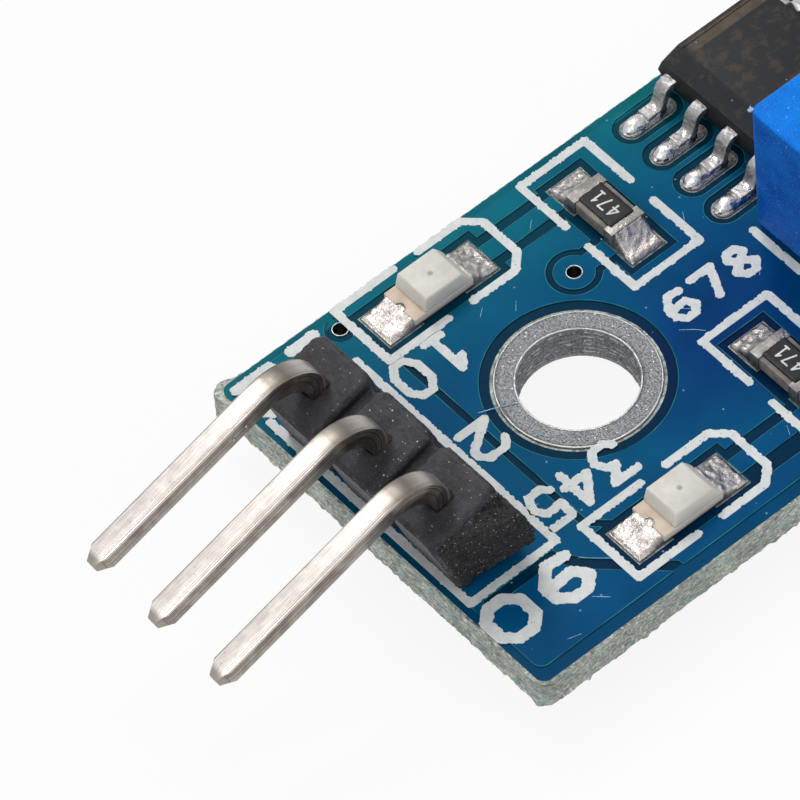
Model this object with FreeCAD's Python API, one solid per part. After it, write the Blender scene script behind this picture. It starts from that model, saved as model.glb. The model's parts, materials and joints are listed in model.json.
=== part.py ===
import FreeCAD, Part
import math
import os

# Vibration sensor module: a small circuit board with a three-pin header, a plated fixing hole,
# two indicator lamps, chip resistors, a comparator, a setting trimmer and a sealed vibration sensor.
# Frame: origin on the axis of the fixing hole at the upper face of the laminate,
# +X from the header to the sensor, +Y across the board, +Z up. All lengths in millimetres.

V = FreeCAD.Vector

# Board: the edges are measured from the hole, and the far ones follow what stands near them
board_left = 7.32
board_back = 6.42
sensor_edge = 1.17
sensor_end_margin = 0.95
sensor_side_margin = 0.78
trimmer_margin = 0.65
board_corner = 0.30
laminate = 1.10
copper = 0.035
mask = 0.020
ink = 0.020
tin = 0.025
pour_margin = 0.42
pour_corner = 0.30
mask_cover = 0.020
window_gap = 0.05
clearance = 0.28
window_rim = 0.042
pour_edge_share = 0.65

# Fixing hole
hole_radius = 1.70
ring_radius = 2.325
ring_clearance = 0.42
plating = 0.030

# Header
pitch = 2.54
pin_count = 3
first_pin_y = 3.07
pin_side = 0.64
pin_reach = 7.70
pin_rise = 1.94
pin_bend = 1.02
pin_kink = 0.60
pin_tip_length = 0.42
pin_tip_inset = 0.17
header_front = 6.90
header_lean = 18.3
housing_depth = 2.40
housing_height = 2.46
segment_width = 2.20
neck_inset = 0.20
neck_drop = 0.38
housing_corner = 0.24
housing_bevel = 0.10
stub_length = 0.34
stub_inset = 0.04
stub_drop = 0.06
# Faces of the break: place across and up as shares of the stub, turn in degrees, depth
stub_breaks = ((0.30, 0.50, 9, 0.22), (0.75, 0.30, -7, 0.18), (0.60, 0.80, 5, 0.20))
header_hole = 0.50
header_land = 0.88

# Through joints below the board
tail_length = 1.20
solder_height = 0.62
solder_rim = 0.06
solder_toe = 0.04
ramp_hollow = 0.36
cone_waist = 1.25
cone_shoulder_share = 0.30
cone_knee = 0.40
lead_hole = 0.42
lead_land = 0.80

# Chip parts
chip_length = 1.92
chip_width = 1.20
chip_land_length = 1.10
chip_land_span = 3.54
chip_seat = 0.02
resistor_height = 0.50
resistor_cap = 0.36
resistor_cap_wall = 0.04
resistor_coat = 0.03
capacitor_height = 0.85
capacitor_cap = 0.42
resistor_fillet_share = 0.82
capacitor_fillet_share = 0.60
resistor_1_at = (4.24, 3.69)
resistor_2_at = (4.34, -3.72)
far_chip_gap = 1.98
resistor_3_y = -3.72
capacitor_1_y = 3.40

# Indicator lamps
lamp_1_at = (-1.02, 5.00)
lamp_2_at = (-0.88, -5.06)
lamp_length = 2.10
lamp_width = 1.30
lamp_land_length = 1.15
lamp_land_span = 3.90
lamp_base = 0.28
lamp_height = 0.80
lamp_lens_setback = 0.38
lamp_lens_slope = 0.34
lamp_lens_draft = 0.10
lamp_lens_side = 0.04
lamp_fillet_share = 0.95
lamp_notch = 0.18
lamp_terminal = 0.30
lamp_terminal_wall = 0.03
lamp_die = 0.24
lamp_die_height = 0.12

# Comparator
ic_width = 3.90
ic_length = 4.90
ic_centre_y = 3.60
ic_offset = 0.08
ic_seat = 0.20
ic_height = 1.42
ic_draft = 0.18
ic_bevel_wide = 0.44
ic_bevel_high = 0.38
ic_pitch = 1.27
ic_leads_per_side = 4
ic_lead_width = 0.45
ic_lead_thick = 0.20
ic_lead_span = 6.00
ic_foot = 0.55
ic_lead_bend = 0.14
ic_lead_root = 0.35
ic_lead_shoulder = 0.28
ic_mound_share = 0.75
ic_land_width = 0.62
ic_land_length = 1.80
ic_land_out = 0.75
ic_stripe_width = 0.34
ic_stripe_depth = 0.03

# Trimmer
trimmer_left = 6.99
trimmer_back = 0.70
trimmer_width = 6.60
trimmer_length = 7.00
trimmer_height = 4.75
trimmer_seat = 0.30
trimmer_foot = 0.75
trimmer_foot_inset = 0.12
trimmer_wall = 0.60
trimmer_roof = 0.80
trimmer_corner = 0.30
trimmer_edge = 0.12
rotor_radius = 1.72
rotor_gap = 0.06
rotor_sink = 0.10
rotor_flange_gap = 0.25
rotor_flange_thick = 0.55
rotor_slot = 0.60
rotor_slot_depth = 0.65
rotor_slot_length = 2.60
seal_width = 0.45
seal_thick = 0.40
seal_gap = 0.02
element_thick = 0.60
potting_thick = 0.45
wiper_thick = 0.10
wiper_gap = 0.05
wiper_arm_length = 1.90
wiper_arm_width = 0.55
wiper_foot = 0.28
trimmer_pin_side = 0.50
trimmer_pin_pitch = 2.54
trimmer_pin_margin = 0.96
trimmer_pin_point_share = 0.40

# Sensor capsule
sensor_gap = 1.75
sensor_radius = 2.90
sensor_length = 10.00
sensor_dome = 0.80
sensor_bevel = 0.25
sensor_groove = 0.15
sensor_groove_width = 0.50
sensor_skirt = 1.20
sensor_lead_radius = 0.30
sensor_lead_pitch = 2.54
sensor_lead_reach = 1.25
sensor_lead_bend = 0.70
sensor_lead_root = 0.80

# Small plated holes through the board
via_hole = 0.20
via_land = 0.55
via_1_at = (2.33, 2.83)
via_2_at = (-3.60, 5.72)

via_3_from_chip = (1.55, 0.60)
via_4_from_chip = (-0.85, 0.20)

# Legend: how far the middle of each frame's line stands from what it surrounds
legend_width = 0.24
header_frame_front = 0.13
header_frame_back = 2.90
header_frame_low = 1.65
header_frame_high = 1.53
lamp_frame_left = 2.30
lamp_frame_right = 2.67
lamp_frame_low = 1.03
lamp_frame_high = 1.29
lamp_frame_open = (-0.20, 0.70)
lamp_frame_corner = 0.45
chip_frame_left = 1.05
chip_frame_right = 1.31
chip_frame_end = 2.38
chip_frame_open = 0.48
body_frame_gap = 0.15

# Worked-out planes
copper_top = copper
mask_top = copper + mask
land_top = copper + tin
under = -laminate
under_mask = under - mask_top
under_land = under - land_top
tail_end = under_mask - tail_length

# Worked-out places: the comparator sits over the trimmer's middle, then come a column of chips and the sensor
trimmer_x = trimmer_left + trimmer_width / 2
trimmer_y = trimmer_back - trimmer_length / 2
ic_left = trimmer_x - ic_width / 2 - ic_offset
far_chip_x = trimmer_left + trimmer_width + far_chip_gap
resistor_3_at = (far_chip_x, resistor_3_y)
capacitor_1_at = (far_chip_x, capacitor_1_y)
sensor_x = far_chip_x + sensor_gap + sensor_radius
sensor_lead_y = board_back - sensor_edge
sensor_base_y = sensor_lead_y - sensor_lead_reach
board_right = sensor_x + sensor_radius + sensor_side_margin
board_front = max(sensor_length - sensor_base_y + sensor_end_margin,
                  trimmer_length - trimmer_back + trimmer_margin)
rotor_flange = min(trimmer_width, trimmer_length) / 2 - trimmer_wall - rotor_flange_gap
via_places = [via_1_at, via_2_at, (far_chip_x + via_3_from_chip[0], via_3_from_chip[1]),
              (far_chip_x + via_4_from_chip[0], via_4_from_chip[1])]
trimmer_pin_step = trimmer_length / 2 - trimmer_pin_margin


def save(name, shape):
    """Write one node as a STEP file."""
    shape.exportStep("parts/" + name + ".step")
    print(name, len(shape.Solids), round(shape.Volume, 4))


def group(shapes):
    """Separate solids kept together in one node."""
    return Part.makeCompound(shapes)


def block(x0, x1, y0, y1, z0, z1):
    """A plain box between two corners."""
    return Part.makeBox(x1 - x0, y1 - y0, z1 - z0, V(x0, y0, z0))


def disc(x, y, radius, z0, z1):
    """An upright cylinder."""
    return Part.makeCylinder(radius, z1 - z0, V(x, y, z0))


def upright_edges(shape):
    """The edges of a shape that run along Z."""
    found = []
    for edge in shape.Edges:
        along = edge.tangentAt(edge.FirstParameter)
        if abs(along.z) > 0.999:
            found.append(edge)
    return found


def plate(x0, x1, y0, y1, radius, z0, z1):
    """A box with rounded upright edges."""
    body = block(x0, x1, y0, y1, z0, z1)
    return body.makeFillet(radius, upright_edges(body))


def slot(row, width, z0, z1):
    """A flat strip with round ends between two points that lie along X."""
    (xa, y), (xb, y) = sorted(row)
    ends = [disc(xa, y, width / 2, z0, z1), disc(xb, y, width / 2, z0, z1)]
    return block(xa, xb, y - width / 2, y + width / 2, z0, z1).multiFuse(ends).removeSplitter()


def ribbon(points, width, z0, z1):
    """A flat line along a route, mitred at its turns and with its end corners clipped."""
    half = width / 2
    clip = half / 2
    spots = [V(x, y, z0) for x, y in points]
    runs = [(b - a).normalize() for a, b in zip(spots, spots[1:])]
    sides = [V(-run.y, run.x, 0) for run in runs]
    start, finish = spots[0] - runs[0] * half, spots[-1] + runs[-1] * half
    inset = half - clip
    left = [start + sides[0] * clip, start + runs[0] * inset + sides[0] * half]
    right = [start - sides[0] * clip, start + runs[0] * inset - sides[0] * half]
    for spot, side_in, side_out in zip(spots[1:], sides, sides[1:]):
        mitre = side_in + side_out
        mitre = mitre * (width / mitre.Length ** 2)
        left.append(spot + mitre)
        right.append(spot - mitre)
    left += [finish - runs[-1] * inset + sides[-1] * half, finish + sides[-1] * clip]
    right += [finish - runs[-1] * inset - sides[-1] * half, finish - sides[-1] * clip]
    outline = Part.makePolygon(left + right[::-1] + left[:1])
    return Part.Face(outline).extrude(V(0, 0, z1 - z0))


def bent_bar(route, radii, thick, y0, y1):
    """A flat bar whose middle line follows a route in the XZ plane, bent round at each inner point."""
    half = thick / 2
    runs = []
    for (xa, za), (xb, zb) in zip(route, route[1:]):
        length = math.hypot(xb - xa, zb - za)
        runs.append(((xb - xa) / length, (zb - za) / length))
    outline = []
    for side in (1, -1):
        dx, dz = runs[0]
        last = V(route[0][0] - dz * side * half, 0, route[0][1] + dx * side * half)
        first = last
        for corner, radius, run_in, run_out in zip(route[1:], radii, runs, runs[1:]):
            cross = run_in[0] * run_out[1] - run_in[1] * run_out[0]
            dot = run_in[0] * run_out[0] + run_in[1] * run_out[1]
            hand = 1 if cross > 0 else -1
            reach = radius * math.tan(math.atan2(abs(cross), dot) / 2)
            centre = V(corner[0] - run_in[0] * reach - run_in[1] * hand * radius, 0,
                       corner[1] - run_in[1] * reach + run_in[0] * hand * radius)
            inner = radius - side * hand * half
            start = centre + V(run_in[1], 0, -run_in[0]) * (hand * inner)
            finish = centre + V(run_out[1], 0, -run_out[0]) * (hand * inner)
            spoke = start + finish - centre * 2
            middle = centre + spoke.normalize() * inner
            outline.append(Part.makeLine(last, start))
            outline.append(Part.Arc(start, middle, finish).toShape())
            last = finish
        dx, dz = runs[-1]
        end = V(route[-1][0] - dz * side * half, 0, route[-1][1] + dx * side * half)
        outline.append(Part.makeLine(last, end))
        if side == 1:
            upper_first, upper_end = first, end
    outline.append(Part.makeLine(upper_first, first))
    outline.append(Part.makeLine(upper_end, end))
    face = Part.Face(Part.Wire(Part.__sortEdges__(outline)))
    bar = face.extrude(V(0, y1 - y0, 0))
    bar.translate(V(0, y0, 0))
    return bar


def ring(x, y, inner, outer, z0, z1):
    """A flat ring or a tube standing on end."""
    return disc(x, y, outer, z0, z1).cut(disc(x, y, inner, z0, z1))


def header_point(u, w):
    """Header frame to X and Z: u runs back from the front foot of the housing, w up along the pins."""
    lean = math.radians(header_lean)
    x = u * math.cos(lean) - w * math.sin(lean) - header_front
    z = u * math.sin(lean) + w * math.cos(lean) + mask_top
    return x, z


def lean(shape):
    """Tip a solid made in the header frame forward with the header."""
    shape.rotate(V(0, 0, 0), V(0, 1, 0), -header_lean)
    shape.translate(V(-header_front, 0, mask_top))
    return shape


# Where the pins and leads go through the board
pin_foot = header_point(housing_depth / 2, 0)
pin_hole_x = pin_foot[0] + (pin_foot[1] + mask_top) * math.tan(math.radians(header_lean))
header_places = [(pin_hole_x, first_pin_y - pitch * i) for i in range(pin_count)]
trimmer_places = [(trimmer_x - trimmer_pin_pitch / 2, trimmer_y + trimmer_pin_step),
                  (trimmer_x + trimmer_pin_pitch / 2, trimmer_y),
                  (trimmer_x - trimmer_pin_pitch / 2, trimmer_y - trimmer_pin_step)]
sensor_places = [(sensor_x + side * sensor_lead_pitch / 2, sensor_lead_y) for side in (-1, 1)]
lead_places = trimmer_places + sensor_places

# Chip parts: middle, whether the part lies along X, its length and width, length and span of its lands
plain_chip = (False, chip_length, chip_width, chip_land_length, chip_land_span)
lamp_chip = (True, lamp_length, lamp_width, lamp_land_length, lamp_land_span)
chips = {"resistor_1": (resistor_1_at,) + plain_chip, "resistor_2": (resistor_2_at,) + plain_chip,
         "resistor_3": (resistor_3_at,) + plain_chip, "capacitor_1": (capacitor_1_at,) + plain_chip,
         "lamp_1": (lamp_1_at,) + lamp_chip, "lamp_2": (lamp_2_at,) + lamp_chip}


def chip_land_boxes(name, grow):
    """The two land rectangles under a chip part."""
    (x, y), along_x, length, width, land_length, land_span = chips[name]
    boxes = []
    for side in (-1, 1):
        reach = side * (land_span - land_length) / 2
        half_long = land_length / 2 + grow
        half_wide = width / 2 + grow
        if along_x:
            boxes.append((x + reach - half_long, x + reach + half_long, y - half_wide, y + half_wide))
        else:
            boxes.append((x - half_wide, x + half_wide, y + reach - half_long, y + reach + half_long))
    return boxes


def ic_land_rows():
    """Middle line of each comparator land, from its inner to its outer end."""
    rows = []
    centre_x = ic_left + ic_width / 2
    outer = ic_lead_span / 2 + ic_land_out - ic_land_width / 2
    inner = outer - ic_land_length + ic_land_width
    for side in (-1, 1):
        for index in range(ic_leads_per_side):
            y = ic_centre_y + (1.5 - index) * ic_pitch
            rows.append([(centre_x + side * inner, y), (centre_x + side * outer, y)])
    return rows


def board_plate(z0, z1):
    """The outline of the board between two heights, without holes."""
    return plate(-board_left, board_right, -board_front, board_back, board_corner, z0, z1)


def drilled(shape, z0, z1, wall):
    """A board layer with every plated hole, leaving room for a wall of plating.

    The cut is made in a copy, so that the shape can still be used to cut its neighbour.
    """
    tools = [disc(0, 0, hole_radius + wall, z0, z1)]
    for x, y in header_places:
        tools.append(disc(x, y, header_hole + wall, z0, z1))
    for x, y in lead_places:
        tools.append(disc(x, y, lead_hole + wall, z0, z1))
    for x, y in via_places:
        tools.append(disc(x, y, via_hole + wall, z0, z1))
    return shape.copy().cut(tools)


def land_discs(grow, z0, z1):
    """Round lands of the header, trimmer and sensor holes, grown by a margin."""
    discs = []
    for x, y in header_places:
        discs.append(disc(x, y, header_land + grow, z0, z1))
    for x, y in lead_places:
        discs.append(disc(x, y, lead_land + grow, z0, z1))
    return discs


def box_solids(boxes, z0, z1):
    """Boxes from their plan rectangles."""
    return [block(x0, x1, y0, y1, z0, z1) for x0, x1, y0, y1 in boxes]


def chip_lands(names, grow, z0, z1):
    """Land boxes of several chip parts."""
    solids = []
    for name in names:
        solids += box_solids(chip_land_boxes(name, grow), z0, z1)
    return solids


def ic_lands(grow, z0, z1):
    """The comparator's eight round-ended lands."""
    return [slot(row, ic_land_width + 2 * grow, z0, z1) for row in ic_land_rows()]


# Routes of the gaps between areas of copper, and of the tracks laid in them
track_width = 0.50
track_start = 1.50
track_end = 0.25
lamp_track_drop = 0.03
long_channel_back = 2.03
long_channel_short = 1.00
long_channel_lift = 1.34
long_channel_slant = 0.60
corner_channel_inset = 0.30
corner_channel_drop = 1.97
corner_channel_turns = ((2.50, 0.00), (2.95, 0.74), (4.70, 2.49))
front_channel_lift = 0.10
channel_widths = {"long": 0.30, "corner": 0.42, "lamp_1": 1.25, "lamp_2": 1.50, "via": 1.10, "far": 1.00}


def lamp_track_y(name):
    """Height across the board of the track between a lamp and its resistor."""
    return chips[name][0][1] - lamp_track_drop


def channel_routes():
    """Middle line and width of each gap between areas of copper."""
    corner_y = header_places[-1][1] - corner_channel_drop
    corner = [(corner_channel_inset - header_front, corner_y)]
    corner += [(dx - header_front, corner_y - dy) for dx, dy in corner_channel_turns]
    corner.append((corner[-1][0], -board_front - track_width / 2))
    long_x, long_low = lamp_1_at[0] - long_channel_back, lamp_2_at[1] + long_channel_lift
    long_route = [(long_x, lamp_1_at[1] - long_channel_short), (long_x, long_low),
                  (long_x + long_channel_slant, long_low - long_channel_slant)]
    lamp_1_y, lamp_2_y = lamp_track_y("lamp_1"), lamp_track_y("lamp_2") - front_channel_lift
    return [
        (long_route, channel_widths["long"]),
        (corner, channel_widths["corner"]),
        ([(lamp_1_at[0], lamp_1_y), (resistor_1_at[0], lamp_1_y)], channel_widths["lamp_1"]),
        ([(lamp_2_at[0], lamp_2_y), (resistor_2_at[0], lamp_2_y)], channel_widths["lamp_2"]),
        ([via_places[0], (resistor_1_at[0], via_places[0][1])], channel_widths["via"]),
        ([via_places[2], via_places[3]], channel_widths["far"]),
    ]


def track_routes():
    """Middle lines of the tracks that lie in the gaps."""
    lamp_1_y, lamp_2_y = lamp_track_y("lamp_1"), lamp_track_y("lamp_2")
    return [
        [(lamp_1_at[0] + track_start, lamp_1_y), (resistor_1_at[0] - track_end, lamp_1_y)],
        [(lamp_2_at[0] + track_start, lamp_2_y), (resistor_2_at[0] - track_end, lamp_2_y)],
        [via_places[0], (resistor_1_at[0] - track_end, via_places[0][1])],
        [via_places[2], via_places[3]],
    ]


def keepouts(grow, z0, z1):
    """Everything that the poured copper stays away from; grow moves the edge of the copper outward."""
    gap = clearance - grow
    tools = [disc(0, 0, ring_radius + ring_clearance - grow, z0, z1)]
    for x, y in via_places[:1] + via_places[2:]:
        tools.append(disc(x, y, via_land + clearance - grow, z0, z1))
    tools.append(disc(via_places[1][0], via_places[1][1], via_hole + clearance - grow, z0, z1))
    tools += land_discs(gap, z0, z1)
    tools += ic_lands(gap, z0, z1)
    for (x, y), along_x, length, width, land_length, land_span in chips.values():
        long = land_span / 2 + gap
        wide = width / 2 + gap
        if along_x:
            tools.append(block(x - long, x + long, y - wide, y + wide, z0, z1))
        else:
            tools.append(block(x - wide, x + wide, y - long, y + long, z0, z1))
    for route, width in channel_routes():
        tools.append(ribbon(route, width - 2 * grow, z0, z1))
    return tools


def copper_areas(grow, z0, z1):
    """Poured copper, tracks and the lands that belong to them."""
    inset = pour_margin - grow
    near_inset = pour_edge_share * pour_margin - grow
    pour = plate(-board_left + near_inset, board_right - inset, -board_front + inset,
                 board_back - near_inset, pour_corner, z0, z1)
    pour = pour.cut(keepouts(grow, z0, z1))
    islands = [ribbon(route, track_width + 2 * grow, z0, z1) for route in track_routes()]
    islands += chip_lands(chips, grow, z0, z1)
    islands += ic_lands(grow, z0, z1)
    islands += land_discs(grow, z0, z1)
    for x, y in via_places[:1] + via_places[2:]:
        islands.append(disc(x, y, via_land + grow, z0, z1))
    islands = islands[0].multiFuse(islands[1:])
    return pour.fuse(islands)


def tinned_zone(grow, z0, z1):
    """The openings of the mask, where the copper is tinned."""
    tools = chip_lands(chips, grow, z0, z1)
    tools += ic_lands(grow, z0, z1)
    tools += land_discs(grow, z0, z1)
    tools.append(disc(0, 0, ring_radius + window_rim + grow, z0, z1))
    return tools


def make_board():
    """Laminate, copper foil, plated barrels, tinned lands and the two coats of mask."""
    save("board_laminate", drilled(board_plate(under, 0), under, 0, plating))

    areas = copper_areas(0, 0, copper_top)
    save("copper_foil_top", drilled(areas, 0, copper_top, plating).removeSplitter())

    gaps = []
    gaps.append(disc(0, 0, ring_radius + ring_clearance, under - copper, under))
    for x, y in header_places:
        gaps.append(disc(x, y, header_land + clearance, under - copper, under))
    for x, y in lead_places:
        gaps.append(disc(x, y, lead_land + clearance, under - copper, under))
    pour = plate(-board_left + pour_margin, board_right - pour_margin, -board_front + pour_margin,
                 board_back - pour_margin, pour_corner, under - copper, under).cut(gaps)
    lands = land_discs(0, under - copper, under)
    foil = pour.fuse(lands[0].multiFuse(lands[1:]))
    save("copper_foil_bottom", drilled(foil, under - copper, under, plating).removeSplitter())

    coat = board_plate(0, mask).fuse(copper_areas(mask_cover, 0, mask_top))
    coat = coat.cut(areas).cut(tinned_zone(window_gap, 0, mask_top))
    save("solder_mask_top", drilled(coat, 0, mask_top, plating).removeSplitter())

    windows = [disc(0, 0, ring_radius + window_gap, under_mask, under)]
    windows += land_discs(window_gap, under_mask, under)
    coat = board_plate(under - mask, under).fuse(
        plate(-board_left + pour_margin - mask_cover, board_right - pour_margin + mask_cover,
              -board_front + pour_margin - mask_cover, board_back - pour_margin + mask_cover,
              pour_corner, under_mask, under))
    coat = coat.cut(foil).cut(windows)
    save("solder_mask_bottom", drilled(coat, under_mask, under, plating).removeSplitter())


def make_plating():
    """Plated barrels with their tinned rings."""
    ring_plate = ring(0, 0, hole_radius, ring_radius, 0, land_top)
    lower_plate = ring(0, 0, hole_radius, ring_radius, under_land, under)
    barrel = ring(0, 0, hole_radius, hole_radius + plating, under_land, land_top)
    save("fixing_hole_ring", barrel.multiFuse([ring_plate, lower_plate]).removeSplitter())

    barrels = []
    for x, y in header_places:
        barrels.append(plated_hole(x, y, header_hole, header_land))
    for x, y in lead_places:
        barrels.append(plated_hole(x, y, lead_hole, lead_land))
    save("lead_hole_plating", group(barrels))

    vias = [ring(x, y, via_hole, via_hole + plating, under - copper, copper_top) for x, y in via_places]
    save("via_plating", group(vias))


def plated_hole(x, y, inner, outer):
    """One barrel with a tinned ring on the copper of each face."""
    barrel = ring(x, y, inner, inner + plating, under_land, land_top)
    upper = ring(x, y, inner, outer, copper_top, land_top)
    lower = ring(x, y, inner, outer, under_land, under - copper)
    return barrel.multiFuse([upper, lower]).removeSplitter()


def make_lands():
    """The tin on the flat lands of the chips and the comparator."""
    solids = chip_lands(chips, 0, copper_top, land_top) + ic_lands(0, copper_top, land_top)
    save("land_tinning", group(solids))


def legend_lines():
    """Routes of the legend's frames."""
    lines = []
    x0, x1 = -header_front - header_frame_front, -header_front + header_frame_back
    y0, y1 = header_places[-1][1] - header_frame_low, header_places[0][1] + header_frame_high
    lines.append([(x0, y1), (x0, y0), (x1, y0), (x1, y1)])
    for x, y in (lamp_1_at, lamp_2_at):
        top, low = y + lamp_frame_high, y - lamp_frame_low
        left, right = x - lamp_frame_left, x + lamp_frame_right
        gap_start, gap_end = x + lamp_frame_open[0], x + lamp_frame_open[1]
        cut = lamp_frame_corner
        lines.append([(gap_start, top), (left, top), (left, low), (gap_start, low)])
        lines.append([(gap_end, top), (right - cut, top), (right, top - cut), (right, low + cut),
                      (right - cut, low), (gap_end, low)])
    for x, y in (resistor_1_at, resistor_2_at, resistor_3_at, capacitor_1_at):
        left, right = x - chip_frame_left, x + chip_frame_right
        for side in (-1, 1):
            near, far = y + side * chip_frame_open, y + side * chip_frame_end
            lines.append([(left, near), (left, far), (right, far), (right, near)])
    gap = body_frame_gap
    left, right = trimmer_left - gap, trimmer_left + trimmer_width + gap
    near, far = trimmer_back - trimmer_length - gap, trimmer_back - gap
    lines.append([(left, far), (left, near), (right, near), (right, far)])
    left, right = sensor_x - sensor_radius - gap, sensor_x + sensor_radius + gap
    near = sensor_base_y - sensor_length - gap
    lines.append([(left, sensor_base_y), (left, near), (right, near), (right, sensor_base_y)])
    return lines


def make_legend():
    """Printed frames round the parts."""
    frames = [ribbon(line, legend_width, mask_top, mask_top + ink) for line in legend_lines()]
    save("legend_frames", group(frames))


def pin_route():
    """Middle line of a header pin in the XZ plane, from its tip to its foot."""
    top = housing_height + pin_rise - pin_side / 2
    tip = header_point(housing_depth / 2 - pin_reach, top)
    bend = header_point(housing_depth / 2, top)
    kink = (pin_hole_x, -mask_top)
    return [tip, bend, kink, (pin_hole_x, tail_end)]


def make_pin(y):
    """A square pin bent over above the housing, with tapered ends."""
    route = [V(x, y, z) for x, z in pin_route()]
    ends = []
    for first, second, spot in ((route[0], route[1], 0), (route[-1], route[-2], -1)):
        inward = (second - first).normalize()
        route[spot] = first + inward * pin_tip_length
        ends.append(tapered_end(route[spot], first, inward))
    bar = bent_bar([(spot.x, spot.z) for spot in route], [pin_bend + pin_side / 2, pin_kink + pin_side / 2],
                   pin_side, y - pin_side / 2, y + pin_side / 2)
    return bar.multiFuse(ends).removeSplitter()


def tapered_end(wide_at, narrow_at, along):
    """A square taper from the full section of a pin to its end face."""
    across = V(0, 1, 0)
    up = along.cross(across)
    outlines = []
    for spot, half in ((wide_at, pin_side / 2), (narrow_at, pin_side / 2 - pin_tip_inset)):
        corners = [spot + across * (a * half) + up * (b * half) for a, b in ((1, 1), (-1, 1), (-1, -1), (1, -1))]
        outlines.append(Part.makePolygon(corners + corners[:1]))
    return Part.makeLoft(outlines, True, True)


def make_segment(y):
    """One cell of the housing in the header frame, with bevelled corners."""
    cell = block(0, housing_depth, y - segment_width / 2, y + segment_width / 2, 0, housing_height)
    cell = cell.makeChamfer(housing_corner, upright_edges(cell))
    top_edges = []
    for edge in cell.Edges:
        middle = edge.valueAt((edge.FirstParameter + edge.LastParameter) / 2)
        if abs(middle.z - housing_height) < 0.001:
            top_edges.append(edge)
    return cell.makeChamfer(housing_bevel, top_edges)


def neck(y0, y1):
    """The thin bridge between two cells of the housing."""
    return block(neck_inset, housing_depth - neck_inset, y0, y1, neck_drop / 2, housing_height - neck_drop)


def broken_stub(y):
    """What is left of the neck where the strip was snapped off, with an uneven face."""
    u0, u1 = stub_inset, housing_depth - stub_inset
    w0, w1 = stub_inset, housing_height - stub_drop
    stub = block(u0, u1, y - stub_length, y, w0, w1)
    chips_away = []
    for u, w, turn, depth in stub_breaks:
        wedge = Part.makeBox(u1 - u0, stub_length, w1 - w0, V(-(u1 - u0) / 2, -stub_length, -(w1 - w0) / 2))
        wedge.rotate(V(0, 0, 0), V(0, 0, 1), turn)
        wedge.rotate(V(0, 0, 0), V(1, 0, 0), turn / 2)
        wedge.translate(V(u0 + (u1 - u0) * u, y - stub_length + depth, w0 + (w1 - w0) * w))
        chips_away.append(wedge)
    return stub.cut(chips_away)


def make_header():
    """Housing, three pins and their joints."""
    cells = [make_segment(y) for x, y in header_places]
    for (xa, ya), (xb, yb) in zip(header_places, header_places[1:]):
        cells.append(neck(yb + segment_width / 2, ya - segment_width / 2))
    last_y = header_places[-1][1] - segment_width / 2
    cells.append(broken_stub(last_y))
    housing = lean(cells[0].multiFuse(cells[1:]).removeSplitter())
    pins = [make_pin(y) for x, y in header_places]
    save("header_housing", housing.cut(pins))
    for number, pin in enumerate(pins, 1):
        save("header_pin_%d" % number, pin)
    joints = [solder_cone(x, y, header_hole, header_land, pin, pin_side / 2)
              for (x, y), pin in zip(header_places, pins)]
    save("header_solder", group(joints))


def solder_cone(x, y, hole, land, lead, half):
    """A waisted fillet of solder round a lead on the under side, with the plug that fills its hole."""
    rim = land - solder_rim
    waist = half * cone_waist
    shoulder = waist + (rim - waist) * cone_shoulder_share
    middle = under_land - solder_height * cone_knee
    low = under_land - solder_height
    skirt = Part.makeCone(shoulder, rim, under_land - middle, V(x, y, middle))
    collar = Part.makeCone(waist, shoulder, middle - low, V(x, y, low))
    plug = disc(x, y, hole, under_land, 0)
    return skirt.multiFuse([collar, plug]).removeSplitter().cut(lead)


def end_fillet(x, y, long, height, half_wide, side, along_x, bottom):
    """A hollow-faced ramp of solder from a land up to the end of a chip."""
    hollow = V(long * ramp_hollow, 0, solder_toe + (height - solder_toe) * ramp_hollow)
    arc = Part.Arc(V(long, 0, solder_toe), hollow, V(0, 0, height))
    edges = [Part.makeLine(V(0, 0, 0), V(long, 0, 0)), Part.makeLine(V(long, 0, 0), V(long, 0, solder_toe)),
             arc.toShape(), Part.makeLine(V(0, 0, height), V(0, 0, 0))]
    ramp = Part.Face(Part.Wire(edges)).extrude(V(0, 2 * half_wide, 0))
    ramp.translate(V(0, -half_wide, 0))
    if side < 0:
        ramp.rotate(V(0, 0, 0), V(0, 0, 1), 180)
    if not along_x:
        ramp.rotate(V(0, 0, 0), V(0, 0, 1), 90)
    ramp.translate(V(x, y, bottom))
    return ramp


def chip_fillets(name, height):
    """Both solder ramps of one chip part."""
    (x, y), along_x, length, width, land_length, land_span = chips[name]
    long = (land_span - length) / 2 - solder_rim
    ramps = []
    for side in (-1, 1):
        end = side * length / 2
        at_x, at_y = (x + end, y) if along_x else (x, y + end)
        ramps.append(end_fillet(at_x, at_y, long, height, width / 2 - solder_rim / 2, side, along_x, land_top))
    return ramps


def chip_block(name, half_long, half_wide, z0, z1, shift=0.0):
    """A box centred on a chip part, turned to lie along it; shift moves it along the part."""
    (x, y), along_x = chips[name][:2]
    if along_x:
        return block(x + shift - half_long, x + shift + half_long, y - half_wide, y + half_wide, z0, z1)
    return block(x - half_wide, x + half_wide, y + shift - half_long, y + shift + half_long, z0, z1)


def end_cap(name, side, length, wall, z0, z1):
    """A metal cap wrapped round one end of a chip."""
    middle = side * (chip_length - length) / 2
    shell = chip_block(name, length / 2, chip_width / 2, z0, z1, middle)
    core = chip_block(name, length / 2, chip_width / 2 - wall, z0 + wall, z1 - wall, middle - side * wall)
    return shell.cut(core)


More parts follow.
